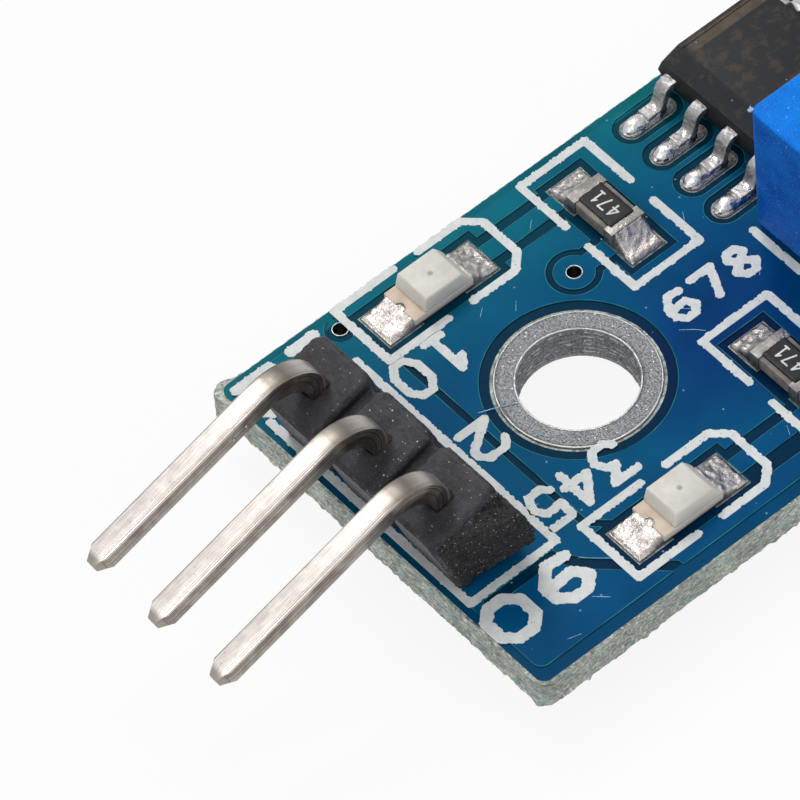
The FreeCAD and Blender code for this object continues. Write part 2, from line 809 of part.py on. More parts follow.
def make_resistor(name):
    """Ceramic slab, wrapped metal ends and a dark coat between them."""
    z0 = land_top + chip_seat
    z1 = z0 + resistor_height
    wall = resistor_cap_wall
    caps = [end_cap(name, side, resistor_cap, wall, z0, z1) for side in (-1, 1)]
    slab = chip_block(name, chip_length / 2 - wall, chip_width / 2 - wall, z0 + wall, z1 - wall)
    coat = chip_block(name, chip_length / 2 - resistor_cap, chip_width / 2 - 2 * wall,
                      z1 - wall, z1 - wall + resistor_coat)
    save(name + "_ceramic", slab)
    save(name + "_ends", group(caps))
    save(name + "_coat", coat)


def make_capacitor(name):
    """Ceramic brick with wrapped metal ends."""
    z0 = land_top + chip_seat
    z1 = z0 + capacitor_height
    wall = resistor_cap_wall
    caps = [end_cap(name, side, capacitor_cap, wall, z0, z1) for side in (-1, 1)]
    save(name + "_ceramic", chip_block(name, chip_length / 2 - wall, chip_width / 2 - wall, z0 + wall, z1 - wall))
    save(name + "_ends", group(caps))


def make_lamp(name):
    """Base with two metal ends, a light-giving chip and the milky lens moulded over it."""
    x, y = chips[name][0]
    z0 = land_top + chip_seat
    z1 = z0 + lamp_base
    z2 = land_top + lamp_height
    half = lamp_length / 2
    y0, y1 = y - lamp_width / 2, y + lamp_width / 2
    notches = [disc(x + side * half, y, lamp_notch, z0, z1) for side in (-1, 1)]
    base = block(x - half, x + half, y0, y1, z0, z1).cut(notches)
    terminals = []
    for side in (-1, 1):
        middle = x + side * (half - lamp_terminal / 2)
        reach = lamp_terminal / 2
        wall = lamp_terminal_wall
        outer = block(middle - reach, middle + reach, y0, y1, z0, z1)
        notch = disc(x + side * half, y, lamp_notch - wall, z0, z1)
        skin = outer.common(disc(x + side * half, y, lamp_notch, z0, z1)).cut(notch)
        foot = outer.common(block(middle - reach, middle + reach, y0, y1, z0, z0 + wall)).cut(notch)
        terminals.append(skin.fuse(foot).removeSplitter())
    save(name + "_base", base.cut(terminals))
    save(name + "_terminals", group(terminals))

    lens_left, lens_right = x - half + lamp_lens_setback, x + half
    outlines = []
    for z, left_in, right_in, side_in in ((z1, 0.0, 0.0, 0.0),
                                          (z2, lamp_lens_draft, lamp_lens_slope, lamp_lens_side)):
        left, right, near, far = lens_left + left_in, lens_right - right_in, y0 + side_in, y1 - side_in
        outlines.append(Part.makePolygon([V(left, near, z), V(right, near, z), V(right, far, z),
                                          V(left, far, z), V(left, near, z)]))
    lens = Part.makeLoft(outlines, True, True)
    die_x = (lens_left + lens_right) / 2
    die = block(die_x - lamp_die / 2, die_x + lamp_die / 2, y - lamp_die / 2, y + lamp_die / 2,
                z1, z1 + lamp_die_height)
    save(name + "_die", die)
    save(name + "_lens", lens.cut(die))


def make_chips():
    """All small two-ended parts and the solder that holds them."""
    for name in ("resistor_1", "resistor_2", "resistor_3"):
        make_resistor(name)
    make_capacitor("capacitor_1")
    for name in ("lamp_1", "lamp_2"):
        make_lamp(name)
    ramps = []
    for name in ("resistor_1", "resistor_2", "resistor_3"):
        ramps += chip_fillets(name, resistor_height * resistor_fillet_share)
    ramps += chip_fillets("capacitor_1", capacitor_height * capacitor_fillet_share)
    for name in ("lamp_1", "lamp_2"):
        ramps += chip_fillets(name, lamp_base * lamp_fillet_share)
    save("chip_solder", group(ramps))


def ic_lead(y):
    """One gull-wing lead on the header side of the comparator."""
    middle = ic_seat + ic_height / 2
    foot_z = land_top + chip_seat + ic_lead_thick / 2
    toe = ic_left + ic_width / 2 - ic_lead_span / 2
    route = [(ic_left + ic_lead_root, middle), (ic_left - ic_lead_shoulder, middle), (toe + ic_foot, foot_z), (toe, foot_z)]
    radius = ic_lead_bend + ic_lead_thick / 2
    return bent_bar(route, [radius, radius], ic_lead_thick, y - ic_lead_width / 2, y + ic_lead_width / 2)


def moulded_body(x0, x1, y0, y1, z0, z1, draft):
    """A moulded package with its parting line at half height and sides that slope both ways."""
    middle = (z0 + z1) / 2
    halves = []
    for edge in (z0, z1):
        outlines = []
        for z, inset in ((middle, 0.0), (edge, draft)):
            outlines.append(Part.makePolygon([V(x0 + inset, y0 + inset, z), V(x1 - inset, y0 + inset, z),
                                              V(x1 - inset, y1 - inset, z), V(x0 + inset, y1 - inset, z),
                                              V(x0 + inset, y0 + inset, z)]))
        halves.append(Part.makeLoft(outlines, True, True))
    return halves[0].fuse(halves[1])


def long_bevel(x, y0, y1, top):
    """The wedge that is taken off the long top edge of a package on its first side."""
    edge = x + ic_draft + ic_bevel_wide
    outline = Part.makePolygon([V(x, y0, top), V(edge, y0, top), V(x + ic_draft / 2, y0, top - ic_bevel_high),
                                V(x, y0, top - ic_bevel_high), V(x, y0, top)])
    return Part.Face(outline).extrude(V(0, y1 - y0, 0))


def solder_mound(row):
    """A low mound of solder along one comparator land, rounded across it."""
    half_wide = ic_land_width / 2 - solder_rim
    rise = ic_lead_thick * ic_mound_share
    (xa, y), (xb, y) = sorted(row)
    arc = Part.Arc(V(xa, y - half_wide, land_top), V(xa, y, land_top + rise), V(xa, y + half_wide, land_top))
    chord = Part.makeLine(V(xa, y + half_wide, land_top), V(xa, y - half_wide, land_top))
    return Part.Face(Part.Wire([arc.toShape(), chord])).extrude(V(xb - xa, 0, 0))


def make_comparator():
    """Moulded body with a groove at its first end, eight leads and their solder."""
    centre_x = ic_left + ic_width / 2
    y0 = ic_centre_y - ic_length / 2
    y1 = ic_centre_y + ic_length / 2
    top = ic_seat + ic_height
    body = moulded_body(ic_left, ic_left + ic_width, y0, y1, ic_seat, top, ic_draft)
    body = body.cut(long_bevel(ic_left, y0, y1, top))
    leads = []
    for index in range(ic_leads_per_side):
        leads.append(ic_lead(ic_centre_y + (1.5 - index) * ic_pitch))
    leads += [lead.mirror(V(centre_x, 0, 0), V(1, 0, 0)) for lead in reversed(leads)]
    groove_y = y1 - ic_draft - ic_stripe_width
    groove = block(ic_left + ic_draft + ic_bevel_wide, ic_left + ic_width - ic_draft, groove_y - ic_stripe_width / 2,
                   groove_y + ic_stripe_width / 2, top - ic_stripe_depth, top)
    save("comparator_body", body.cut(leads + [groove]))
    for number, lead in enumerate(leads, 1):
        save("comparator_lead_%d" % number, lead)
    save("comparator_solder", group([solder_mound(row).cut(leads) for row in ic_land_rows()]))


def trimmer_levels():
    """Heights inside the trimmer: bottom, potting top, element top, under side of the roof, roof."""
    low = mask_top + trimmer_seat
    top = low + trimmer_height
    return low, low + potting_thick, low + potting_thick + element_thick, top - trimmer_roof, top


def make_trimmer():
    """Housing, turning rotor with seal and wiper, element, potting and three pins."""
    low, potting_top, element_top, ceiling, top = trimmer_levels()
    x0, x1 = trimmer_left, trimmer_left + trimmer_width
    y0, y1 = trimmer_back - trimmer_length, trimmer_back
    wall = trimmer_wall
    shell = plate(x0, x1, y0, y1, trimmer_corner, low, top)
    top_edges = [edge for edge in shell.Edges if abs(edge.CenterOfMass.z - top) < 0.001]
    shell = shell.makeFillet(trimmer_edge, top_edges)
    room = block(x0 + wall, x1 - wall, y0 + wall, y1 - wall, low, ceiling)
    bore = disc(trimmer_x, trimmer_y, rotor_radius + rotor_gap, ceiling, top)
    inset, foot = trimmer_foot_inset, trimmer_foot
    feet = []
    for fx in (x0 + inset, x1 - inset - foot):
        for fy in (y0 + inset, y1 - inset - foot):
            feet.append(block(fx, fx + foot, fy, fy + foot, mask_top, low).cut(block(
                x0 + wall, x1 - wall, y0 + wall, y1 - wall, mask_top, low)))
    save("trimmer_housing", shell.cut([room, bore]).multiFuse(feet).removeSplitter())

    flange_top = ceiling - seal_thick - 2 * seal_gap
    flange_low = flange_top - rotor_flange_thick
    stem = disc(trimmer_x, trimmer_y, rotor_radius, flange_top, top - rotor_sink)
    flange = disc(trimmer_x, trimmer_y, rotor_flange, flange_low, flange_top)
    slot_top = top - rotor_sink
    arm = rotor_slot_length / 2
    slots = [block(trimmer_x - arm, trimmer_x + arm, trimmer_y - rotor_slot / 2, trimmer_y + rotor_slot / 2,
                   slot_top - rotor_slot_depth, slot_top),
             block(trimmer_x - rotor_slot / 2, trimmer_x + rotor_slot / 2, trimmer_y - arm, trimmer_y + arm,
                   slot_top - rotor_slot_depth, slot_top)]
    save("trimmer_rotor", stem.fuse(flange).removeSplitter().cut(slots))

    seal_inner = rotor_radius + seal_gap
    save("trimmer_seal", ring(trimmer_x, trimmer_y, seal_inner, seal_inner + seal_width,
                              flange_top + seal_gap, ceiling - seal_gap))

    hub_top = flange_low
    hub = disc(trimmer_x, trimmer_y, wiper_arm_width, hub_top - wiper_thick, hub_top)
    foot_z = element_top + wiper_gap
    arm_end = trimmer_x + wiper_arm_length
    route = [(trimmer_x, hub_top - wiper_thick / 2), (trimmer_x + wiper_arm_width, hub_top - wiper_thick / 2),
             (arm_end - wiper_foot, foot_z + wiper_thick / 2), (arm_end, foot_z + wiper_thick / 2)]
    radius = wiper_thick * 1.5
    arm = bent_bar(route, [radius, radius], wiper_thick, trimmer_y - wiper_arm_width / 2,
                   trimmer_y + wiper_arm_width / 2)
    save("trimmer_wiper", hub.fuse(arm).removeSplitter())

    pins = []
    half = trimmer_pin_side / 2
    for x, y in trimmer_places:
        pin = block(x - half, x + half, y - half, y + half, tail_end, element_top)
        bottom = [edge for edge in pin.Edges if abs(edge.CenterOfMass.z - tail_end) < 0.001]
        pins.append(pin.makeChamfer(half * trimmer_pin_point_share, bottom))
    element = block(x0 + wall, x1 - wall, y0 + wall, y1 - wall, potting_top, element_top).cut(pins)
    potting = block(x0 + wall, x1 - wall, y0 + wall, y1 - wall, low, potting_top).cut(pins)
    save("trimmer_element", element)
    save("trimmer_potting", potting)
    for number, pin in enumerate(pins, 1):
        save("trimmer_pin_%d" % number, pin)
    joints = [solder_cone(x, y, lead_hole, lead_land, pin, half) for (x, y), pin in zip(trimmer_places, pins)]
    save("trimmer_solder", group(joints))


def sensor_lead(x):
    """A round wire out of the end of the capsule, bent down through the board."""
    axis_z = mask_top + sensor_radius
    bend = sensor_lead_bend
    lead_y = sensor_lead_y
    start = V(x, sensor_base_y - sensor_lead_root, axis_z)
    turn_in = V(x, lead_y - bend, axis_z)
    turn_out = V(x, lead_y, axis_z - bend)
    half_turn = bend * (1 - math.sqrt(0.5))
    middle = V(x, lead_y - half_turn, axis_z - half_turn)
    path = Part.Wire([Part.makeLine(start, turn_in), Part.Arc(turn_in, middle, turn_out).toShape(),
                      Part.makeLine(turn_out, V(x, lead_y, tail_end))])
    section = Part.Wire(Part.makeCircle(sensor_lead_radius, start, V(0, 1, 0)))
    return path.makePipeShell([section], True, False)


def make_sensor():
    """Sealed capsule lying across the board, its two leads and their joints."""
    r = sensor_radius
    dome = sensor_dome
    groove = sensor_groove
    far = -sensor_length
    g0 = -sensor_skirt
    g1 = g0 - sensor_groove_width
    shoulder = dome * (1 - math.sqrt(0.5))
    arc = Part.Arc(V(r, far + dome, 0), V(r - shoulder, far + shoulder, 0), V(r - dome, far, 0))
    corners = [V(0, 0, 0), V(r - sensor_bevel, 0, 0), V(r, -sensor_bevel, 0), V(r, g0, 0),
               V(r - groove, g0 - groove, 0), V(r - groove, g1 + groove, 0), V(r, g1, 0), V(r, far + dome, 0)]
    edges = [Part.makeLine(a, b) for a, b in zip(corners, corners[1:])]
    edges += [arc.toShape(), Part.makeLine(V(r - dome, far, 0), V(0, far, 0)),
              Part.makeLine(V(0, far, 0), V(0, 0, 0))]
    capsule = Part.Face(Part.Wire(edges)).revolve(V(0, 0, 0), V(0, 1, 0), 360)
    capsule.translate(V(sensor_x, sensor_base_y, mask_top + r))
    leads = [sensor_lead(x) for x, y in sensor_places]
    save("sensor_capsule", capsule.cut(leads))
    for number, lead in enumerate(leads, 1):
        save("sensor_lead_%d" % number, lead)
    joints = [solder_cone(x, y, lead_hole, lead_land, lead, sensor_lead_radius)
              for (x, y), lead in zip(sensor_places, leads)]
    save("sensor_solder", group(joints))


os.makedirs("parts", exist_ok=True)
make_board()
make_plating()
make_lands()
make_legend()
make_header()
make_chips()
make_comparator()
make_trimmer()
make_sensor()
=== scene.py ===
import json
import math

import bmesh
import bpy
from mathutils import Matrix, Vector, noise


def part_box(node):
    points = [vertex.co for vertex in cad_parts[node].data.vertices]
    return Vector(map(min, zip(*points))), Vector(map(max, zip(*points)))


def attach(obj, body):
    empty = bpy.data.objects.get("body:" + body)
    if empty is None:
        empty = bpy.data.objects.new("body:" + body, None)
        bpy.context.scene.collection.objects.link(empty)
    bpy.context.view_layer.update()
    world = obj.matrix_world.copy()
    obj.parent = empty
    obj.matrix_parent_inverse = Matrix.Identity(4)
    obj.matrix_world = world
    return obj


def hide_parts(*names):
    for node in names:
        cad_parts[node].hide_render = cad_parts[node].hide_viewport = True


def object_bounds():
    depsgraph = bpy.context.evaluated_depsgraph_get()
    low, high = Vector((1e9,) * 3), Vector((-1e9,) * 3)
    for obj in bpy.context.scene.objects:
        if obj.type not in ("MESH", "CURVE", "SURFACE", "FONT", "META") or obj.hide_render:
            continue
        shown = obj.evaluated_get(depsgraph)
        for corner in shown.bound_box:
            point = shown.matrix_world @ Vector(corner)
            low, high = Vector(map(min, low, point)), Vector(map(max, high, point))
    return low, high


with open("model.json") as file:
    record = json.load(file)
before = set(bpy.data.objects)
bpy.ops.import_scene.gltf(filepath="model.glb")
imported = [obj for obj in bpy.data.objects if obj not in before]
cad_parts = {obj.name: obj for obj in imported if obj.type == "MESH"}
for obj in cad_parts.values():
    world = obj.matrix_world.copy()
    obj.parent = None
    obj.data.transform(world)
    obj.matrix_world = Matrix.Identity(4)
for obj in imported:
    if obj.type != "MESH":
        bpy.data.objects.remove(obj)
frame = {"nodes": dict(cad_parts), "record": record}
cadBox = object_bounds()
nodes = frame["nodes"]
mm = 0.001
print("frame loaded,", len(nodes), "nodes")


# Camera and room

viewpoint = {
    "azimuth": -35.93,
    "elevation": 52.83,
    "roll": -5.83,
    "distance": 265.46 * mm,
    "lookAt": Vector((-3.952, 2.810, 0)) * mm,
    "lens": 442.13,
    "clip": (0.01, 5),
}


def placeCamera(setup):
    azimuth, elevation, roll = (math.radians(setup[key]) for key in ("azimuth", "elevation", "roll"))
    back = Vector((math.sin(azimuth) * math.cos(elevation), -math.cos(azimuth) * math.cos(elevation),
                   math.sin(elevation)))
    level = Vector((0, 0, 1)).cross(back).normalized()
    upright = back.cross(level)
    right = level * math.cos(roll) + upright * math.sin(roll)
    up = upright * math.cos(roll) - level * math.sin(roll)
    data = bpy.data.cameras.new("camera")
    data.sensor_width = 36
    data.lens = setup["lens"]
    data.clip_start, data.clip_end = setup["clip"]
    camera = bpy.data.objects.new("camera", data)
    bpy.context.scene.collection.objects.link(camera)
    turn = Matrix((right, up, back)).transposed().to_4x4()
    camera.matrix_world = Matrix.Translation(setup["lookAt"] + back * setup["distance"]) @ turn
    bpy.context.scene.camera = camera


room = {
    "floorSize": 1.2, "floorAt": (0.008, 0), "floorDrop": 0.02 * mm, "floorTone": (0.80, 0.80, 0.80, 1),
    "floorRough": 0.9, "floorGlow": 0.90, "skyLevel": 0.50,
    # name, place, size, power, colour
    "lamps": (
        ("overhead", (0.06, 0.22, 0.36), 0.20, 0.80, (1.0, 0.98, 0.95)),
        ("leftFront", (-0.34, -0.02, 0.30), 0.20, 0.42, (1.0, 0.99, 0.98)),
        ("rightFront", (0.24, -0.34, 0.22), 0.20, 0.22, (0.96, 0.98, 1.0)),
    ),
}


def lookShare(tree, level=1.0):
    # level where a camera, mirror or glass ray looks, so that all of them see the white background
    light = tree.nodes.new("ShaderNodeLightPath")
    total = light.outputs["Is Camera Ray"]
    for kind in ("Is Glossy Ray", "Is Transmission Ray"):
        join = tree.nodes.new("ShaderNodeMath")
        join.operation = "MAXIMUM"
        tree.links.new(total, join.inputs[0])
        tree.links.new(light.outputs[kind], join.inputs[1])
        total = join.outputs[0]
    share = tree.nodes.new("ShaderNodeMath")
    share.operation = "MULTIPLY"
    share.inputs[1].default_value = level
    tree.links.new(total, share.inputs[0])
    return share.outputs[0]


def mixByLook(tree, level, usual, seen, surface):
    mix = tree.nodes.new("ShaderNodeMixShader")
    tree.links.new(lookShare(tree, level), mix.inputs["Fac"])
    tree.links.new(usual.outputs[0], mix.inputs[1])
    tree.links.new(seen.outputs[0], mix.inputs[2])
    tree.links.new(mix.outputs[0], surface.inputs["Surface"])


def buildRoom(setup):
    world = bpy.data.worlds.new("studio")
    bpy.context.scene.world = world
    world.use_nodes = True
    tree = world.node_tree
    soft = tree.nodes["Background"]
    soft.inputs["Color"].default_value = (1, 1, 1, 1)
    soft.inputs["Strength"].default_value = setup["skyLevel"]
    white = tree.nodes.new("ShaderNodeBackground")
    white.inputs["Strength"].default_value = 1.0
    mixByLook(tree, 1.0, soft, white, tree.nodes["World Output"])

    for name, place, size, power, colour in setup["lamps"]:
        data = bpy.data.lights.new(name, "AREA")
        data.size, data.energy, data.color = size, power, colour
        item = bpy.data.objects.new(name, data)
        item.location = place
        item.rotation_euler = (-Vector(place)).to_track_quat("-Z", "Y").to_euler()
        bpy.context.scene.collection.objects.link(item)

    bpy.ops.object.select_all(action="DESELECT")
    bpy.ops.mesh.primitive_plane_add(size=setup["floorSize"],
                                     location=(*setup["floorAt"], cadBox[0].z - setup["floorDrop"]))
    floor = bpy.context.object
    floor.name = "floor"
    paint = bpy.data.materials.new("floorPaint")
    paint.use_nodes = True
    tree = paint.node_tree
    matt = tree.nodes["Principled BSDF"]
    matt.inputs["Base Color"].default_value = setup["floorTone"]
    matt.inputs["Roughness"].default_value = setup["floorRough"]
    glow = tree.nodes.new("ShaderNodeEmission")
    glow.inputs["Strength"].default_value = 1.0
    mixByLook(tree, setup["floorGlow"], matt, glow, tree.nodes["Material Output"])
    floor.data.materials.append(paint)


placeCamera(viewpoint)
buildRoom(room)
bpy.context.scene.view_settings.view_transform = "Standard"
print("camera and room placed")


# Finishes: every material is built from these few steps

class Finish:
    def __init__(self, name, colour, rough, metal=0.0):
        self.material = bpy.data.materials.new(name)
        self.material.use_nodes = True
        self.tree = self.material.node_tree
        self.shader = self.tree.nodes["Principled BSDF"]
        self.use(Base_Color=colour, Roughness=rough, Metallic=metal)
        self.point = self.tree.nodes.new("ShaderNodeTexCoord").outputs["Object"]

    def fill(self, spot, value):
        if hasattr(value, "links"):
            self.tree.links.new(value, spot)
        elif isinstance(value, tuple) and len(value) == 3 and len(spot.default_value) == 4:
            spot.default_value = (*value, 1)
        else:
            spot.default_value = value

    def node(self, kind, settings=None, inputs=None):
        made = self.tree.nodes.new(kind)
        for key, value in (settings or {}).items():
            setattr(made, key, value)
        for key, value in (inputs or {}).items():
            self.fill(made.inputs[key], value)
        return made

    def stretched(self, scale=(1, 1, 1), turn=(0, 0, 0), shift=(0, 0, 0)):
        settings = {"Vector": self.point, "Scale": scale, "Location": shift,
                    "Rotation": tuple(math.radians(a) for a in turn)}
        return self.node("ShaderNodeMapping", None, settings).outputs[0]

    def grain(self, size, detail=2.0, rough=0.5, twist=0.0, point=None):
        # size is the width of one grain in mm
        values = {"Vector": point or self.point, "Scale": 1 / (size * mm), "Detail": detail,
                  "Roughness": rough, "Distortion": twist}
        return self.node("ShaderNodeTexNoise", None, values).outputs["Fac"]

    def specks(self, spacing, share, reach, point=None):
        # round specks: spacing in mm, share of the cells that hold one, reach as a part of a cell
        values = {"Vector": point or self.point, "Scale": 1 / (spacing * mm)}
        cells = self.node("ShaderNodeTexVoronoi", None, values)
        near = self.calc("LESS_THAN", cells.outputs["Distance"], reach)
        tint = self.node("ShaderNodeSeparateColor", None, {"Color": cells.outputs["Color"]}).outputs[0]
        return self.times(near, self.calc("LESS_THAN", tint, share))

    def scattered(self, first, second, turn):
        # two sets of specks, the second one turned so that they don't line up
        return self.most(self.specks(*first), self.specks(*second, self.stretched(turn=turn)))

    def calc(self, operation, a, b=0.0, clamp=False):
        made = self.node("ShaderNodeMath", {"operation": operation, "use_clamp": clamp}, {0: a, 1: b})
        return made.outputs[0]

    def times(self, total, *others):
        for other in others:
            total = self.calc("MULTIPLY", total, other)
        return total

    def most(self, total, *others):
        for other in others:
            total = self.calc("MAXIMUM", total, other)
        return total

    def length(self, a, b):
        return self.calc("SQRT", self.calc("ADD", self.calc("POWER", a, 2.0), self.calc("POWER", b, 2.0)))

    def away(self, x, y):
        # distance from the upright line through x and y
        return self.length(self.calc("SUBTRACT", self.axis(0), x), self.calc("SUBTRACT", self.axis(1), y))

    def between(self, value, low, high, start=0.0, finish=1.0):
        values = {"Value": value, "From Min": low, "From Max": high, "To Min": start, "To Max": finish}
        return self.node("ShaderNodeMapRange", None, values).outputs[0]

    def cloud(self, size, detail, low, high, start=0.0, finish=1.0):
        return self.between(self.grain(size, detail), low, high, start, finish)

    def level(self, size, low, high, detail=3.0):
        # a value that drifts between low and high
        return self.cloud(size, detail, 0.3, 0.7, low, high)

    def blend(self, share, a, b, how="MIX"):
        made = self.node("ShaderNodeMix", {"data_type": "RGBA", "blend_type": how}, {0: share, 6: a, 7: b})
        return made.outputs[2]

    def painted(self, colour, *coats):
        # coats of colour over each other, each with its share
        for share, tone in coats:
            colour = self.blend(share, colour, tone)
        return colour

    def shade(self, colour, level):
        tone = self.node("ShaderNodeCombineColor", None, {0: level, 1: level, 2: level}).outputs[0]
        return self.blend(1.0, colour, tone, "MULTIPLY")

    def parts(self, vector, which):
        return self.node("ShaderNodeSeparateXYZ", None, {"Vector": vector}).outputs[which]

    def axis(self, which):
        return self.parts(self.point, which)

    def facing(self, which):
        return self.parts(self.node("ShaderNodeNewGeometry").outputs["Normal"], which)

    def near(self, value, target, reach):
        # one where value is within reach of target
        return self.calc("LESS_THAN", self.calc("ABSOLUTE", self.calc("SUBTRACT", value, target)), reach)

    def relief(self, height, depth, strength=1.0, below=None):
        values = {"Height": height, "Distance": depth, "Strength": strength}
        if below is not None:
            values["Normal"] = below
        return self.node("ShaderNodeBump", None, values).outputs[0]

    def use(self, **sockets):
        for name, value in sockets.items():
            self.fill(self.shader.inputs[name.replace("_", " ")], value)
        return self.material


finishes = {}

maskLook = {
    "green": (0.0040, 0.152, 0.192), "teal": (0.0004, 0.088, 0.205), "blue": (0.0003, 0.042, 0.165),
    "greenGap": (0.0015, 0.055, 0.080), "tealGap": (0.0008, 0.030, 0.068), "blueGap": (0.0005, 0.014, 0.060),
    "greenRim": (0.0040, 0.135, 0.165), "tealRim": (0.0006, 0.070, 0.150), "blueRim": (0.0003, 0.038, 0.135),
    "step": 0.0375 * mm, "underStep": -1.1375 * mm, "blueSpot": (4.2 * mm, -1.6 * mm),
    "blueReach": (1.2 * mm, 4.6 * mm), "greenFrom": (2.6 * mm, 6.3 * mm), "blueFrom": (-3.0 * mm, -6.0 * mm),
    "rimX": (-6.88 * mm, 23.46 * mm), "rimY": (-6.51 * mm, 5.98 * mm), "dust": (0.50, 0.60, 0.66),
}


def maskFinish(name, upper):
    look = Finish(name, maskLook["teal"], 0.3)
    if upper:
        raised = look.calc("GREATER_THAN", look.axis(2), maskLook["step"])
    else:
        raised = look.calc("LESS_THAN", look.axis(2), maskLook["underStep"])
    # a soft sheen painted into the colour: bluest right of the fixing hole and in front, greenest at the back,
    # with soft clouds between
    clouds = look.cloud(4, 2.0, 0.35, 0.65, -0.25, 0.25)
    spot = look.between(look.away(*maskLook["blueSpot"]), *maskLook["blueReach"], 0.95, 0.0)
    blueness = look.most(look.calc("ADD", spot, clouds, True),
                         look.between(look.axis(1), *maskLook["blueFrom"], 0.0, 0.45))
    greenness = look.times(look.between(look.axis(1), *maskLook["greenFrom"]),
                           look.calc("ADD", clouds, 0.9, True))
    pour, gap, rim = (
        look.blend(greenness, look.blend(blueness, maskLook["teal" + part], maskLook["blue" + part]),
                   maskLook["green" + part]) for part in ("", "Gap", "Rim"))
    # the strip beyond the pour lets light in from the cut edge
    strip = look.most(*(look.calc(test, look.axis(which), limit)
                        for which, limits in enumerate((maskLook["rimX"], maskLook["rimY"]))
                        for test, limit in zip(("LESS_THAN", "GREATER_THAN"), limits)))
    colour = look.blend(raised, look.blend(strip, gap, rim), pour)
    colour = look.shade(colour, look.level(1.8, 0.90, 1.12, 1.0))
    dust = look.specks(0.36, 0.20, 0.085)
    motes = look.specks(0.9, 0.12, 0.05, look.stretched(turn=(0, 0, 30), shift=(0.3, 0.1, 0)))
    dust = look.most(look.times(dust, 0.45), look.times(motes, 0.8))
    colour = look.blend(dust, colour, maskLook["dust"])
    ripple = look.relief(look.grain(0.20, 2.0), 0.002 * mm, 0.5)
    ripple = look.relief(look.grain(1.1, 1.0), 0.012 * mm, 0.4, ripple)
    return look.use(Base_Color=colour, Normal=ripple, Roughness=look.level(0.5, 0.20, 0.36, 4.0),
                    Specular_IOR_Level=0.02)


finishes["solder_mask_top"] = maskFinish("maskTop", True)
finishes["solder_mask_bottom"] = maskFinish("maskUnder", False)


legendLook = {"ink": (0.60, 0.64, 0.65), "patch": (0.72, 0.74, 0.74), "pit": (0.25, 0.42, 0.50)}


def legendFinish():
    look = Finish("legendInk", (0.62, 0.66, 0.67), 0.6)
    patches = look.cloud(0.22, 3.0, 0.35, 0.7)
    pits = look.calc("LESS_THAN", look.grain(0.09, 1.0), 0.27)
    colour = look.painted(legendLook["ink"], (patches, legendLook["patch"]), (pits, legendLook["pit"]))
    return look.use(Base_Color=colour, Normal=look.relief(look.grain(0.06, 2.0), 0.004 * mm, 0.6))


finishes["legend"] = legendFinish()


laminateLook = {
    "resin": (0.17, 0.20, 0.18), "fibre": (0.52, 0.55, 0.50), "tuft": (0.74, 0.74, 0.68),
    "pit": (0.10, 0.12, 0.10), "stain": (0.10, 0.30, 0.34),
}


def laminateFinish():
    look = Finish("glassFibre", (0.38, 0.42, 0.38), 0.75)
    fibres = look.grain(0.06, 4.0, 0.65, 0.4, look.stretched((0.25, 0.25, 1.2)))
    tufts = look.between(look.grain(0.13, 5.0, 0.7), 0.56, 0.62)
    pits = look.between(look.grain(0.10, 4.0, 0.7, 0.0, look.stretched(turn=(0, 0, 50))), 0.60, 0.66)
    stain = look.between(look.grain(0.5, 4.0, 0.6), 0.54, 0.68, 0.0, 0.55)
    colour = look.painted(
        laminateLook["resin"], (look.between(fibres, 0.40, 0.60), laminateLook["fibre"]),
        (tufts, laminateLook["tuft"]), (look.times(pits, 0.8), laminateLook["pit"]),
        (stain, laminateLook["stain"]))
    colour = look.shade(colour, look.cloud(0.8, 3.0, 0.35, 0.65, 0.84, 1.28))
    return look.use(Base_Color=colour, Normal=look.relief(fibres, 0.05 * mm, 0.8))


finishes["laminate"] = laminateFinish()

metals = {
    # material name, colour, darker colour, roughness, grain and relief in mm, share of tarnish
    "lead_metal": ("leadTin", (0.44, 0.43, 0.43), (0.19, 0.19, 0.19), 0.50, 0.07, 0.012, 0.5),
    "end_metal": ("endTin", (0.36, 0.345, 0.33), (0.10, 0.09, 0.085), 0.42, 0.08, 0.024, 0.75),
    "copper": ("copper", (0.72, 0.40, 0.26), (0.45, 0.22, 0.14), 0.30, 0.08, 0.008, 0.5),
    "copper_foil_top": ("tinnedCopper", (0.30, 0.29, 0.27), (0.12, 0.11, 0.10), 0.45, 0.06, 0.008, 0.5),
    "rimTin": ("rimTin", (0.56, 0.58, 0.56), (0.26, 0.27, 0.27), 0.30, 0.06, 0.006, 0.5),
    "via_plating": ("darkBarrel", (0.035, 0.040, 0.040), (0.012, 0.014, 0.014), 0.45, 0.06, 0.01, 0.5),
    "lead_hole_plating": ("holeTin", (0.48, 0.48, 0.47), (0.22, 0.22, 0.22), 0.4, 0.06, 0.01, 0.5),
    "wiper_metal": ("wiperBrass", (0.75, 0.58, 0.33), (0.5, 0.36, 0.2), 0.28, 0.08, 0.006, 0.5),
}


def metalFinish(name, colour, darker, rough, size, depth, tarnish):
    look = Finish(name, colour, rough, 1.0)
    fine = look.grain(size, 4.0, 0.6, 0.3)
    tone = look.painted(colour, (look.cloud(size * 9, 3.0, 0.35, 0.7, 0.0, tarnish), darker),
                        (look.between(fine, 0.25, 0.6, 0.35, 0.0), darker))
    return look.use(Base_Color=tone, Roughness=look.level(size * 3, rough * 0.7, rough * 1.35),
                    Normal=look.relief(fine, depth * mm, 0.7))


for key, values in metals.items():
    finishes[key] = metalFinish(*values)

solders = {
    # colour, darker colour painted into the folds and steep sides as dark reflections, their strength, size in
    # mm, roughness
    "brightSolder": ((0.74, 0.68, 0.65), (0.13, 0.12, 0.12), 0.8, 0.10, 0.24),
    "smoothSolder": ((0.80, 0.79, 0.79), (0.16, 0.16, 0.17), 0.6, 0.24, 0.20),
    # the same solder again, darker: painted shade for the fillets that slope away
    "shadedSolder": ((0.46, 0.44, 0.43), (0.10, 0.095, 0.10), 0.85, 0.22, 0.30),
}


